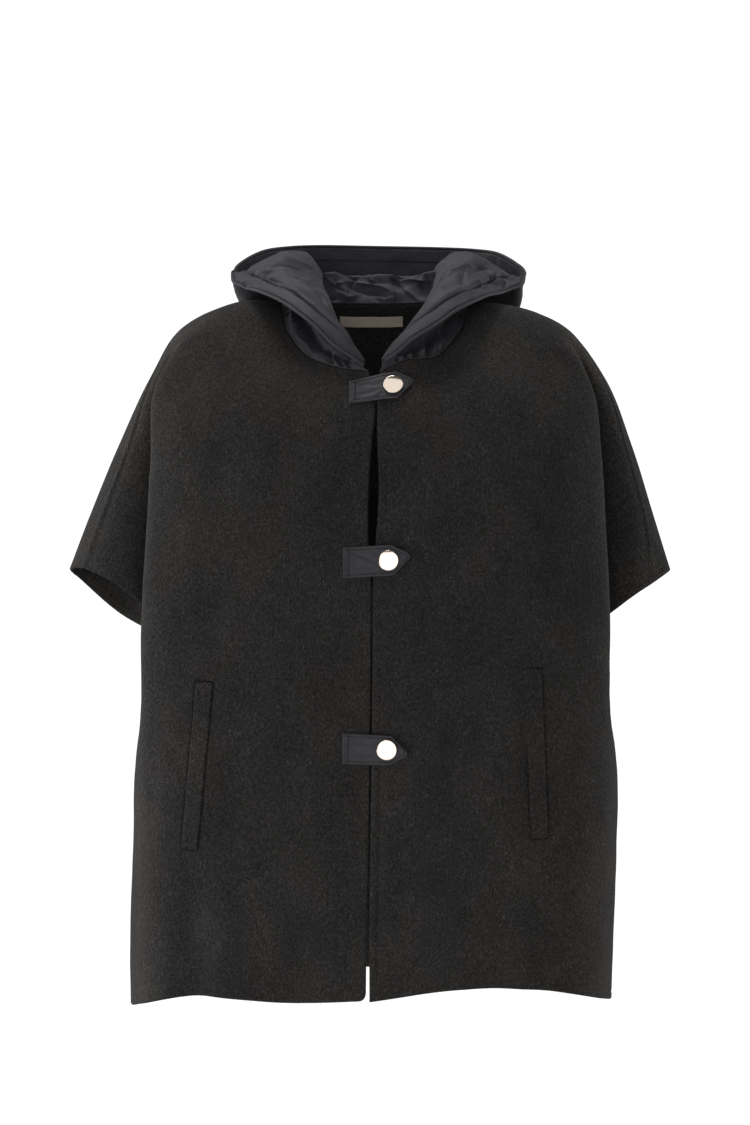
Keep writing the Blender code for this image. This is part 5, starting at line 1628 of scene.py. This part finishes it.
@dataclass
class HoodBand:
    """The facing along the face edge and the rolled edge outside it, with its rows of stitches."""

    plan: ClothPlan
    panels: tuple[HoodPanel, ...]
    laid_on_gap: float = 0.5
    band_wall: float = 0.9
    roll_width: float = 2.8
    roll_lift: float = 1.3
    roll_half_height: float = 1.35
    roll_points: int = 10
    stitch_insets: Pair = (16.6, 5.6)
    stitch_pitch: float = 2.8
    flat: Pair = (0.018, 0.9)
    distances: tuple[float, ...] = (18.0, 17.6, 16.8, 15.0, 12.5, 10.0, 7.5, 5.6, 4.6, 4.1, 3.8)
    fullness: tuple[float, ...] = (0.1, 0.7, 1.0, 1.0, 1.0, 1.0, 1.0, 1.0, 0.95, 0.6, 0.1)
    pucker: float = 0.22
    flattening: float = 0.75
    puckered: tuple[float, ...] = (1, 1, 1, 0.6, 0.2, 0, 0.2, 0.6, 1, 1, 1)
    flattened: tuple[float, ...] = (1, 1, 0.95, 0.8, 0.5, 0.25, 0.1, 0, 0, 0, 0)

    def grid(self, lanes: Array, distances: tuple[float, ...]) -> ArrayPair:
        """Points and normals of the hood at the given distances in from the rim, [lane, distance]."""
        places = self.plan.place_before_rim(lanes, distances)
        points = np.zeros((*places.shape, 3))
        normals = np.zeros_like(points)
        for panel in self.panels:
            low, high = panel.lanes
            inside = (lanes >= low) & (lanes <= high)
            if inside.any():
                points[inside], normals[inside] = panel.surface(lanes[inside], places[inside])
        return points, normals

    def build(self, finishes: Finishes) -> None:
        """Build the band, the rolled edge and the stitches.

        Args:
            finishes: The garment's finishes.
        """
        lanes = runs((0.0, ROUND, 3.0))
        points, normals = self.grid(lanes, self.distances)
        puff = np.array(self.fullness)
        pucker = self.pucker * rough(np.stack([lanes / 5.0, 0 * lanes, 0 * lanes], axis=1), 4.0)[:, None]
        near = points - (self.plan.nylon_wall + self.laid_on_gap) * normals
        edges = np.array(self.puckered)
        behind = smooth_step(430.0, 560.0, np.minimum(lanes, ROUND - lanes))[:, None]
        flat = 1 - self.flattening * behind * np.array(self.flattened)
        far = near - (self.band_wall * puff * flat + pucker * edges * flat)[..., None] * normals
        near = near + 0.15 * normals
        shape = wall(far, near, cloth_places(points))
        band = dress(shape.mesh("hood_band_cloth", finishes.nylon), "nylon", "hood_band")
        roll = self.build_roll(lanes, finishes)
        sewing = self.build_stitches(lanes, finishes)
        shown_area(band, self.flat)

    def build_roll(self, lanes: Array, finishes: Finishes) -> Piece:
        """The hood's own edge, rolled over the band's outer edge."""
        points, normals = self.grid(lanes, (self.roll_width, 0.0))
        inner_edge, rim = points[:, 0], points[:, 1]
        outward = unit(rim - inner_edge)
        normal = normals[:, 1]
        turns = np.linspace(0, 2 * math.pi, self.roll_points, endpoint=False)
        middle = rim - outward * self.roll_width / 2 - normal * (self.plan.nylon_wall + self.roll_lift) / 2
        across, high = outward * (self.roll_width / 2), normal * self.roll_half_height
        rings = [middle + across * math.cos(turn) + high * math.sin(turn) for turn in turns]
        tube = np.stack(rings + [rings[0]], axis=1)
        cells = np.ones((len(lanes) - 1, len(turns)), bool)
        shape = Shape()
        shape.add(tube.reshape(-1, 3), grid_faces(cells), cloth_places(tube).reshape(-1, 3))
        return dress(shape.mesh("hood_edge_roll", finishes.nylon), "nylon")

    def build_stitches(self, lanes: Array, finishes: Finishes) -> Piece:
        """Rows of stitches inside both edges of the band."""
        shape = Shape()
        points, normals = self.grid(lanes, self.stitch_insets)
        lift = self.plan.nylon_wall + self.laid_on_gap + self.band_wall
        for column in range(2):
            line = points[:, column] - normals[:, column] * lift
            stitch_line(shape, line, -normals[:, column], self.stitch_pitch, 0.72, 0.16)
        return dress(shape.mesh("hood_band_stitches", finishes.thread_and_pit_shade), "nylon")


@dataclass
class HoodSeams:
    """Rows of stitches beside the two seams of the hood's centre panel."""

    panels: tuple[HoodPanel, ...]
    inset: float = 2.6
    pitch: float = 3.1
    shown_share: float = 0.7
    thread_radius: float = 0.19

    def build(self, finishes: Finishes) -> None:
        """Build the stitches on both faces of the hood.

        Args:
            finishes: The garment's finishes.
        """
        shape = Shape()
        for panel in self.panels:
            for lane, side in ((panel.lanes[0], 1.0), (panel.lanes[1], -1.0)):
                if lane not in PANEL_SEAMS:
                    continue
                lanes = np.array([lane, lane + side * 6])
                points, normals = panel.surface(lanes, panel.place_rows(lanes))
                apart = unit(points[1] - points[0])
                line = points[0] + apart * self.inset
                inside = line - panel.plan.nylon_wall * normals[0]
                for place, normal in ((line, normals[0]), (inside, -normals[0])):
                    stitch_line(shape, place, normal, self.pitch, self.shown_share, self.thread_radius)
        dress(shape.mesh("hood_seam_stitches", finishes.thread_and_pit_shade), "nylon")


# ---- Tabs, snaps, welts and label ----


@dataclass
class FrontTab:
    """A doubled nylon tab with its snap: sewn end, shoulders, tip and snap middle in x and z."""

    place: str
    reader: FrontReader
    end: tuple[float, float, float]
    upper: Pair
    lower: Pair
    tip: Pair
    snap: Pair
    creases: tuple[tuple[float, float, float, float, float, float], ...]
    wall: float = 2.2
    sewn_gap: float = 0.5
    snap_gap: float = 4.2
    lift_inset: float = 8.0
    shoulder: float = 0.7
    tip_half_height: float = 3.0
    edge_round: float = 1.5
    edge_thinning: float = 0.75
    end_run: float = 62.0
    tip_run: float = 26.0
    stitch_inset: float = 2.9
    stitch_pitch: float = 2.7
    stitch_groove: float = 0.26
    groove_width: float = 0.7
    bar_inset: float = 6.2
    bar_groove: float = 0.34
    bar_width: float = 0.9
    crumple: float = 0.24
    ridges: float = 0.2
    crease_sharpness: float = 4.0
    snap_dish: float = 0.35
    dish_radius: float = 9.0
    dish_width: float = 4.0
    cap_radius: float = 10.5
    cap_height: float = 2.6
    cap_bevel: float = 0.5
    cap_dome: float = 0.7
    cap_segments: int = 96
    stud_radius: float = 6.5
    stud_segments: int = 48
    seat_gap: float = 0.3
    flat: Pair = (0.034, 0.07)
    rows: int = 53
    close_rows: tuple[float, ...] = (0.004, 0.01, 0.02, 0.03, 0.97, 0.98, 0.99, 0.996)
    columns: int = 31

    def __post_init__(self) -> None:
        """Work out the way the tab faces."""
        x, z = self.snap
        reach = self.stud_radius
        across = self.reader.bridge(x + reach, z) - self.reader.bridge(x - reach, z)
        up = self.reader.bridge(x, z + reach) - self.reader.bridge(x, z - reach)
        self.facing = unit(np.cross(across, up))

    def back(self, x: float, z: float) -> Array:
        """The tab's hidden face: close to the front at its sewn end, clear of it at the snap."""
        low, high = self.end[0] + self.lift_inset, self.snap[0] - self.lift_inset
        lift = float(smooth_step(low, high, x))
        gap = self.sewn_gap + (self.snap_gap - self.sewn_gap) * lift
        return self.reader.bridge(x, z) + self.facing * gap

    def outline(self, share: float, inset: float = 0.0) -> ArrayPair:
        """Upper and lower outline points at a share of the tab's length, moved in by inset."""
        end_x, end_top, end_bottom = self.end
        places = (0.0, self.shoulder, 0.985, 1.0)
        tip_x, tip_z = self.tip
        half = self.tip_half_height
        tops = ((end_x, end_top), self.upper, (tip_x - 1.2, tip_z + half), (tip_x, tip_z + 0.45 * half))
        bottoms = ((end_x, end_bottom), self.lower, (tip_x - 1.2, tip_z - half), (tip_x, tip_z - 0.45 * half))
        pair = []
        for line, sign in ((tops, -1.0), (bottoms, 1.0)):
            x = np.interp(share, places, [p[0] for p in line])
            z = np.interp(share, places, [p[1] for p in line])
            pair.append(np.array((x, z + sign * inset)))
        return pair[0], pair[1]

    def build(self, finishes: Finishes) -> None:
        """Build the tab, its stitches and its snap.

        Args:
            finishes: The garment's finishes.
        """
        shares = np.sort(np.concatenate([np.linspace(0, 1, self.rows), self.close_rows]))
        middle_shares = 0.5 - 0.5 * np.cos(np.linspace(0, math.pi, self.columns))
        back = np.zeros((len(shares), self.columns, 3))
        thin = np.ones((len(shares), self.columns))
        flat = np.zeros((len(shares), self.columns, 2))
        for row, share in enumerate(shares):
            top, bottom = self.outline(float(share))
            flat[row] = top + (bottom - top) * middle_shares[:, None]
            for column in range(self.columns):
                back[row, column] = self.back(*flat[row, column])
            rim = np.linalg.norm(flat[row] - top, axis=1), np.linalg.norm(flat[row] - bottom, axis=1)
            apart = np.minimum(np.minimum(*rim), min(share * self.end_run, (1 - share) * self.tip_run))
            thin[row] = 1 - self.edge_thinning * (1 - smooth_step(0.0, self.edge_round, apart)) ** 2
            groove = np.exp(-(((apart - self.stitch_inset) / self.groove_width) ** 2))
            thin[row] -= self.stitch_groove * groove
        x, z = flat[..., 0], flat[..., 1]
        thin -= self.bar_groove * np.exp(-(((x - self.end[0] - self.bar_inset) / self.bar_width) ** 2))
        relief = self.crumple * rough(np.stack([x / 6.0, 0 * x, z / 4.0], axis=-1), 1.7)
        relief += self.ridges * rough(np.stack([x / 15.0, 0 * x, z / 4.0], axis=-1), 6.2, ridged=True)
        for x1, z1, x2, z2, width, depth in self.creases:
            a, along = np.array((x1, z1)), np.array((x2 - x1, z2 - z1))
            share = np.clip(((x - a[0]) * along[0] + (z - a[1]) * along[1]) / float(along @ along), 0, 1)
            apart = np.hypot(x - a[0] - share * along[0], z - a[1] - share * along[1])
            taper = np.sqrt(np.sin(math.pi * np.clip(share, 0.05, 0.95)))
            relief -= self.crease_sharpness * depth * taper * np.exp(-apart / width)
        from_snap = np.hypot(x - self.snap[0], z - self.snap[1])
        relief -= self.snap_dish * np.exp(-(((from_snap - self.dish_radius) / self.dish_width) ** 2))
        relief *= np.clip((thin - 0.3) / 0.5, 0, 1)
        front = back + self.facing * (self.wall * (0.5 + 0.5 * thin) + relief)[..., None]
        rear = back + self.facing * (self.wall * (0.5 - 0.5 * thin))[..., None]
        shape = wall(front, rear, cloth_places(front))
        tab = dress(shape.mesh(f"tab_{self.place}_cloth", finishes.nylon), "nylon", f"tab_{self.place}")
        sewing = self.build_stitches(flat, front, finishes)
        shown_area(tab, self.flat)
        self.build_snap(finishes)

    def build_stitches(self, flat: Array, front: Array, finishes: Finishes) -> Piece:
        """The row of stitches inside the tab's outline and the bar across its sewn end."""
        shape = Shape()
        points = front.reshape(-1, 3)
        places = flat.reshape(-1, 2)

        def on_tab(spot: Array) -> Array:
            nearest = np.argsort(np.hypot(*(places - spot).T))[:3]
            height = float(np.mean((points[nearest] - points[nearest[0]]) @ self.facing))
            base = points[nearest[0]] + self.facing * height
            return base + np.array((spot[0] - places[nearest[0]][0], 0.0, spot[1] - places[nearest[0]][1]))

        pairs = [self.outline(float(share), self.stitch_inset) for share in np.linspace(0.03, 0.94, 80)]
        tip = np.array((self.tip[0] - 3.4, self.tip[1]))
        line = [pair[0] for pair in pairs] + [tip] + [pair[1] for pair in pairs[::-1]]
        x = self.end[0] + self.bar_inset
        bar = [np.array((x, z)) for z in np.linspace(self.end[1] - 1.0, self.end[2] + 1.0, 40)]
        for spots, pitch, share, radius in ((line, self.stitch_pitch, 0.58, 0.46), (bar, 2.5, 0.6, 0.5)):
            row = np.array([on_tab(spot) for spot in spots])
            stitch_line(shape, row, np.tile(self.facing, (len(row), 1)), pitch, share, radius)
        return dress(shape.mesh(f"tab_{self.place}_stitches", finishes.thread_and_pit_shade), "nylon")

    def build_snap(self, finishes: Finishes) -> None:
        """The cap on the tab and the stud between the tab and the left front."""
        x, z = self.snap
        centre = self.reader.bridge(x, z)
        turns = [2 * math.pi * i / 12 for i in range(12)]

        def heights(radius: float, behind: bool) -> list[float]:
            spots = [(x + radius * math.cos(t), z + radius * math.sin(t)) for t in turns] + [(x, z)]
            surface = self.back if behind else self.reader.bridge
            return [float(np.dot(surface(*spot) - centre, self.facing)) for spot in spots]

        low = max(heights(self.stud_radius, False)) + self.seat_gap
        high = min(heights(self.stud_radius, True)) - self.seat_gap
        r = self.stud_radius
        stud = [(0.0, low), (r - 0.3, low), (r, low + 0.3), (r, (low + high) / 2), (r - 1.0, high - 0.2),
                (r - 1.3, high), (0.0, high)]
        name = f"snap_stud_{self.place}"
        shape = lathe(centre, self.facing, stud, self.stud_segments)
        dress(shape.mesh(name + "_metal", finishes.stud), "stud_metal", name)
        seat = max(heights(self.cap_radius, True)) + self.wall + self.seat_gap
        r, h = self.cap_radius, self.cap_height
        bevel, dome = self.cap_bevel, self.cap_dome
        turns = np.linspace(0, 1.4, 7)
        edge = [(r - bevel * (1 - math.cos(t)), seat + h - dome - bevel * (1 - math.sin(t))) for t in turns]
        rim_radius, rim_height = edge[-1]
        shares = np.linspace(0.96, 0, 16)
        face = [(rim_radius * share, rim_height + dome * (1 - share**2)) for share in shares]
        cap = [(0.0, seat - 0.2), (r - 1.0, seat - 0.2), (r - 0.3, seat), (r, seat + 0.3)] + edge + face
        name = f"snap_cap_{self.place}"
        shape = lathe(centre, self.facing, cap, self.cap_segments)
        dress(shape.mesh(name + "_metal", finishes.gold), "pale_gold", name)


@dataclass
class PocketWelt:
    """A slanted wool strip laid on a front beside its pocket mouth."""

    side: str
    reader: FrontReader
    wall: float = 2.2
    laid_on_gap: float = 0.5
    edge_round: float = 1.8
    edge_thinning: float = 0.75
    groove_inset: float = 2.6
    groove_thinning: float = 0.1
    groove_width: float = 0.8
    swell: float = 0.18
    rows: int = 115
    close_rows: tuple[float, ...] = (0.002, 0.005, 0.009, 0.991, 0.995, 0.998)
    hairs: int = 900

    def build(self, finishes: Finishes) -> None:
        """Build the welt and its hairs.

        Args:
            finishes: The garment's finishes.
        """
        place = WELTS[self.side]
        width = place.width
        shares = np.sort(np.concatenate([np.linspace(0, 1, self.rows), self.close_rows]))
        across = width / 2 * np.sin(np.linspace(-math.pi / 2, math.pi / 2, 17))
        base = np.zeros((len(shares), len(across), 3))
        normals = np.zeros_like(base)
        for row, share in enumerate(shares):
            x = place.top[0] + (place.bottom[0] - place.top[0]) * share
            z = place.top[1] + (place.bottom[1] - place.top[1]) * share
            for column, offset in enumerate(across):
                base[row, column], normals[row, column] = self.reader.read(x + float(offset), z)
        length = math.dist(place.top, place.bottom)
        ends = np.minimum(shares, 1 - shares)[:, None] * length
        sides = width / 2 - np.abs(across)[None, :]
        apart = np.minimum(ends, sides)
        thin = 1 - self.edge_thinning * (1 - smooth_step(0.0, self.edge_round, apart)) ** 2
        thin = thin - self.groove_thinning * np.exp(-(((apart - self.groove_inset) / self.groove_width) ** 2))
        swell = self.swell * rough(base / np.array((9.0, 9.0, 16.0)), 4.4)
        near = base + normals * (self.laid_on_gap + self.wall * (0.5 - 0.5 * thin))[..., None] * 0.6
        far = base + normals * (self.laid_on_gap + self.wall * (0.5 + 0.5 * thin) + swell * thin)[..., None]
        shape = wall(far, near, hung_places(base))
        name = f"pocket_welt_{self.side}"
        welt = dress(shape.mesh(name + "_cloth", finishes.wool), "wool", name)
        hairs = Nap(name + "_nap", self.hairs, 31 if self.side == "right" else 32)
        cells = np.ones((len(shares) - 1, len(across) - 1), bool)
        nap = dress(hairs.build(far, normals, cells, finishes.nap), "wool")


@dataclass
class NeckLabel:
    """A bare woven label inside the back neck, caught down at both short ends."""

    plan: ClothPlan
    levels: Pair = (16.0, 32.0)
    lanes: Pair = (660.0, 920.0)
    reach: Pair = (-35.6, 35.0)
    laid_on_gap: float = 0.5
    tape_wall: float = 0.7
    bow: float = 0.5

    def build(self, finishes: Finishes) -> None:
        """Build the label and its end stitches.

        Args:
            finishes: The garment's finishes.
        """
        levels = np.linspace(*self.levels, 15)
        read = np.linspace(*self.lanes, 91)
        places = np.linspace(*self.reach, 91)
        lanes = [np.interp(places, row[:, 0], read) for row in self.plan.cloth(levels, read, False)[0]]
        rows = [self.plan.cloth(levels[[i]], lane, False) for i, lane in enumerate(lanes)]
        points, normals = (np.stack([row[part][0] for row in rows]) for part in (0, 1))
        share = np.linspace(0, 1, len(places))[None, :]
        bow = self.bow * np.sin(math.pi * share) * (0.6 + 0.4 * np.sin(9 * share))
        bow = np.repeat(bow, len(levels), axis=0)
        near = points - (self.plan.wool_wall + self.laid_on_gap + bow)[..., None] * normals
        far = near - self.tape_wall * 0.6 * normals
        shape = wall(far, near, cloth_places(points))
        label = dress(shape.mesh("label_tape", finishes.tape), "tape", "label")
        sewing = Shape()
        for column in (2, -3):
            stitch_line(sewing, far[:, column], -normals[:, column], 2.2, 0.7, 0.14)
        stitches = dress(sewing.mesh("label_stitches", finishes.pale_thread), "tape")


# ---- Studio ----


@dataclass(frozen=True)
class SoftBox:
    """A soft rectangular studio light."""

    name: str
    place: Point
    aim: Point
    size: Pair
    power: float

    def build(self) -> None:
        """Put the light in the scene."""
        light = bpy.data.lights.new(self.name, "AREA")
        light.shape = "RECTANGLE"
        light.size, light.size_y = self.size
        light.energy = self.power
        thing = bpy.data.objects.new(self.name, light)
        bpy.context.collection.objects.link(thing)
        thing.location = self.place
        way = Vector(self.aim) - Vector(self.place)
        thing.rotation_euler = way.to_track_quat("-Z", "Y").to_euler()


@dataclass(frozen=True)
class Studio:
    """Camera, pale floor, white surroundings and softboxes."""

    camera_place: Point = (0.0038, -3.0, -0.2776)
    lens: float = 88.9
    floor_height: float = -1.25
    floor_radius: float = 1.65
    floor_points: int = 96
    white: float = 1.1
    fill: float = 0.08
    boxes: tuple[SoftBox, ...] = (
        SoftBox("left_side_box", (-2.1, 0.5, 0.0), (0, 0, -0.35), (0.9, 2.4), 40),
        SoftBox("right_side_box", (2.1, 0.5, 0.0), (0, 0, -0.35), (0.9, 2.4), 32),
        SoftBox("low_left_box", (-1.9, -1.8, -1.3), (0, 0, -0.75), (1.3, 1.3), 25),
        SoftBox("overhead_box", (-0.35, 0.1, 2.0), (0, 0, 0.0), (0.9, 0.8), 26),
        SoftBox("high_front_box", (-0.4, -1.85, 1.9), (0, 0, -0.1), (2.5, 2.0), 13),
        SoftBox("front_box", (-0.15, -3.2, -0.5), (0, 0, -0.4), (2.3, 2.3), 24),
    )

    def build(self, finishes: Finishes) -> None:
        """Build the studio.

        Args:
            finishes: Holds the floor's finish.
        """
        scene = bpy.context.scene
        scene.view_settings.view_transform = "Standard"
        camera = bpy.data.objects.new("camera", bpy.data.cameras.new("camera"))
        camera.data.lens = self.lens
        camera.data.sensor_width = 36.0
        camera.location = self.camera_place
        camera.rotation_euler = (math.pi / 2, 0.0, 0.0)
        bpy.context.collection.objects.link(camera)
        scene.camera = camera
        self.build_surroundings(scene)
        turns = np.linspace(0, 2 * math.pi, self.floor_points, endpoint=False)
        ring = np.stack([np.cos(turns), np.sin(turns), 0 * turns], axis=1) * self.floor_radius / MM
        shape = Shape()
        shape.add(ring, np.arange(self.floor_points)[None, :])
        floor = shape.mesh("floor", finishes.floor)
        floor.location.z = self.floor_height
        for box in self.boxes:
            box.build()

    def build_surroundings(self, scene: bpy.types.Scene) -> None:
        """Plain white surroundings that give only a weak, even fill."""
        world = bpy.data.worlds.new("white_surroundings")
        world.use_nodes = True
        nodes, links = world.node_tree.nodes, world.node_tree.links
        fill = nodes["Background"]
        fill.inputs["Strength"].default_value = self.fill
        white = nodes.new("ShaderNodeBackground")
        white.inputs["Strength"].default_value = self.white
        for background in (fill, white):
            background.inputs["Color"].default_value = (1.0, 1.0, 1.0, 1.0)
        seen = nodes.new("ShaderNodeLightPath")
        mix = nodes.new("ShaderNodeMixShader")
        links.new(seen.outputs["Is Camera Ray"], mix.inputs[0])
        links.new(fill.outputs[0], mix.inputs[1])
        links.new(white.outputs[0], mix.inputs[2])
        links.new(mix.outputs[0], nodes["World Output"].inputs["Surface"])
        scene.world = world


# ---- The whole garment ----


class Poncho:
    """The whole garment, piece by piece."""

    def __init__(self) -> None:
        """Work out the cloth's plan and make the finishes."""
        self.finishes = Finishes()
        self.plan = ClothPlan()
        self.reader = FrontReader(self.plan)

    def build_label(self) -> None:
        """Build the neck label."""
        NeckLabel(self.plan).build(self.finishes)

    def build_wool(self) -> None:
        """Build the back and both fronts."""
        valley, over, back = LANES["valley"], LANES["overarm"], LANES["back_valley"]
        plan = self.plan
        WoolPanel("back", plan, (over, back), (back, ROUND - back), (ROUND - back, ROUND - over),
                  BACK_CREASES, (0.72, 0.83), (False, False), hairs=25000, hair_seed=11,
                  sewn_to=("front_right_cloth", "front_left_cloth")).build(self.finishes)
        WoolPanel("front_right", plan, None, (0.0, valley), (valley, over), FRONT_CREASES, (0.36, 0.8),
                  (True, False), ridge_lanes=(351.0, 377.0), close_lanes=(150.0, 192.0),
                  close_levels=((461.0, 477.0), (651.0, 667.0)), welt=WELTS["right"],
                  corner_radius=8.0, hair_seed=12).build(self.finishes)
        WoolPanel("front_left", plan, (ROUND - over, ROUND - valley), (ROUND - valley, ROUND), None,
                  FRONT_CREASES, (0.36, 0.8), (False, True), ridge_lanes=(ROUND - 377.0, ROUND - 351.0),
                  close_lanes=(ROUND - 192.0, ROUND - 150.0),
                  close_levels=((444.0, 460.0), (639.0, 655.0)), welt=WELTS["left"],
                  facing_depth=1.8, hair_seed=13).build(self.finishes)

    def build_hood(self) -> None:
        """Build the hood's panels, band and seams."""
        plan, seam, middle = self.plan, PANEL_SEAM_LANE, MIDDLE_HOOD_FOLDS
        panels = (
            HoodPanel("hood_right", plan, (0.0, seam), RIGHT_HOOD_FOLDS + middle, (0.3, 0.42)),
            HoodPanel("hood_centre", plan, (seam, ROUND - seam), middle, (0.15, 0.4)),
            HoodPanel("hood_left", plan, (ROUND - seam, ROUND), LEFT_HOOD_FOLDS + middle, (0.3, 0.42)),
        )
        for panel in panels:
            panel.build(self.finishes)
        HoodBand(plan, panels).build(self.finishes)
        HoodSeams(panels).build(self.finishes)

    def build_tabs(self) -> None:
        """Build the three tabs with their snaps."""
        rows = (
            ("top", (-23.2, -87.5, -111.5), (25.9, -79.2), (27.5, -108), (43.5, -89.5), (23, -94.5),
             ((-16, -92, 12, -94, 1, 0.4), (-17, -103, 6, -100, 1.2, 0.35), (4, -108, 14, -101, 1.1, 0.35))),
            ("middle", (-29.4, -262.2, -294.1), (20.8, -259.5), (23.5, -291.1), (40.7, -271.5), (18.3, -275.7),
             ((-16, -269, 9, -279, 1, 0.55), (-22, -284, 4, -282, 1.6, 0.3), (-2, -264, 8, -270, 1, 0.3))),
            ("bottom", (-30, -455.2, -487.4), (20.6, -457.6), (18.5, -488), (37.6, -476.2), (16.4, -472.3),
             ((-20, -463, 6, -468, 1.1, 0.4), (-18, -479, 7, -476, 1.3, 0.4), (-5, -485, 6, -480, 1, 0.3))),
        )
        for place, end, upper, lower, tip, snap, creases in rows:
            FrontTab(place, self.reader, end, upper, lower, tip, snap, creases).build(self.finishes)

    def build_welts(self) -> None:
        """Build both pocket welts."""
        for side in WELTS:
            PocketWelt(side, self.reader).build(self.finishes)


def main() -> None:
    """Build the garment and the studio."""
    logging.basicConfig(level=logging.INFO, format="%(message)s")
    poncho = Poncho()
    steps = (poncho.build_label, poncho.build_wool, poncho.build_hood, poncho.build_tabs, poncho.build_welts)
    for step in steps:
        step()
    Studio().build(poncho.finishes)


if __name__ == "__main__":
    main()
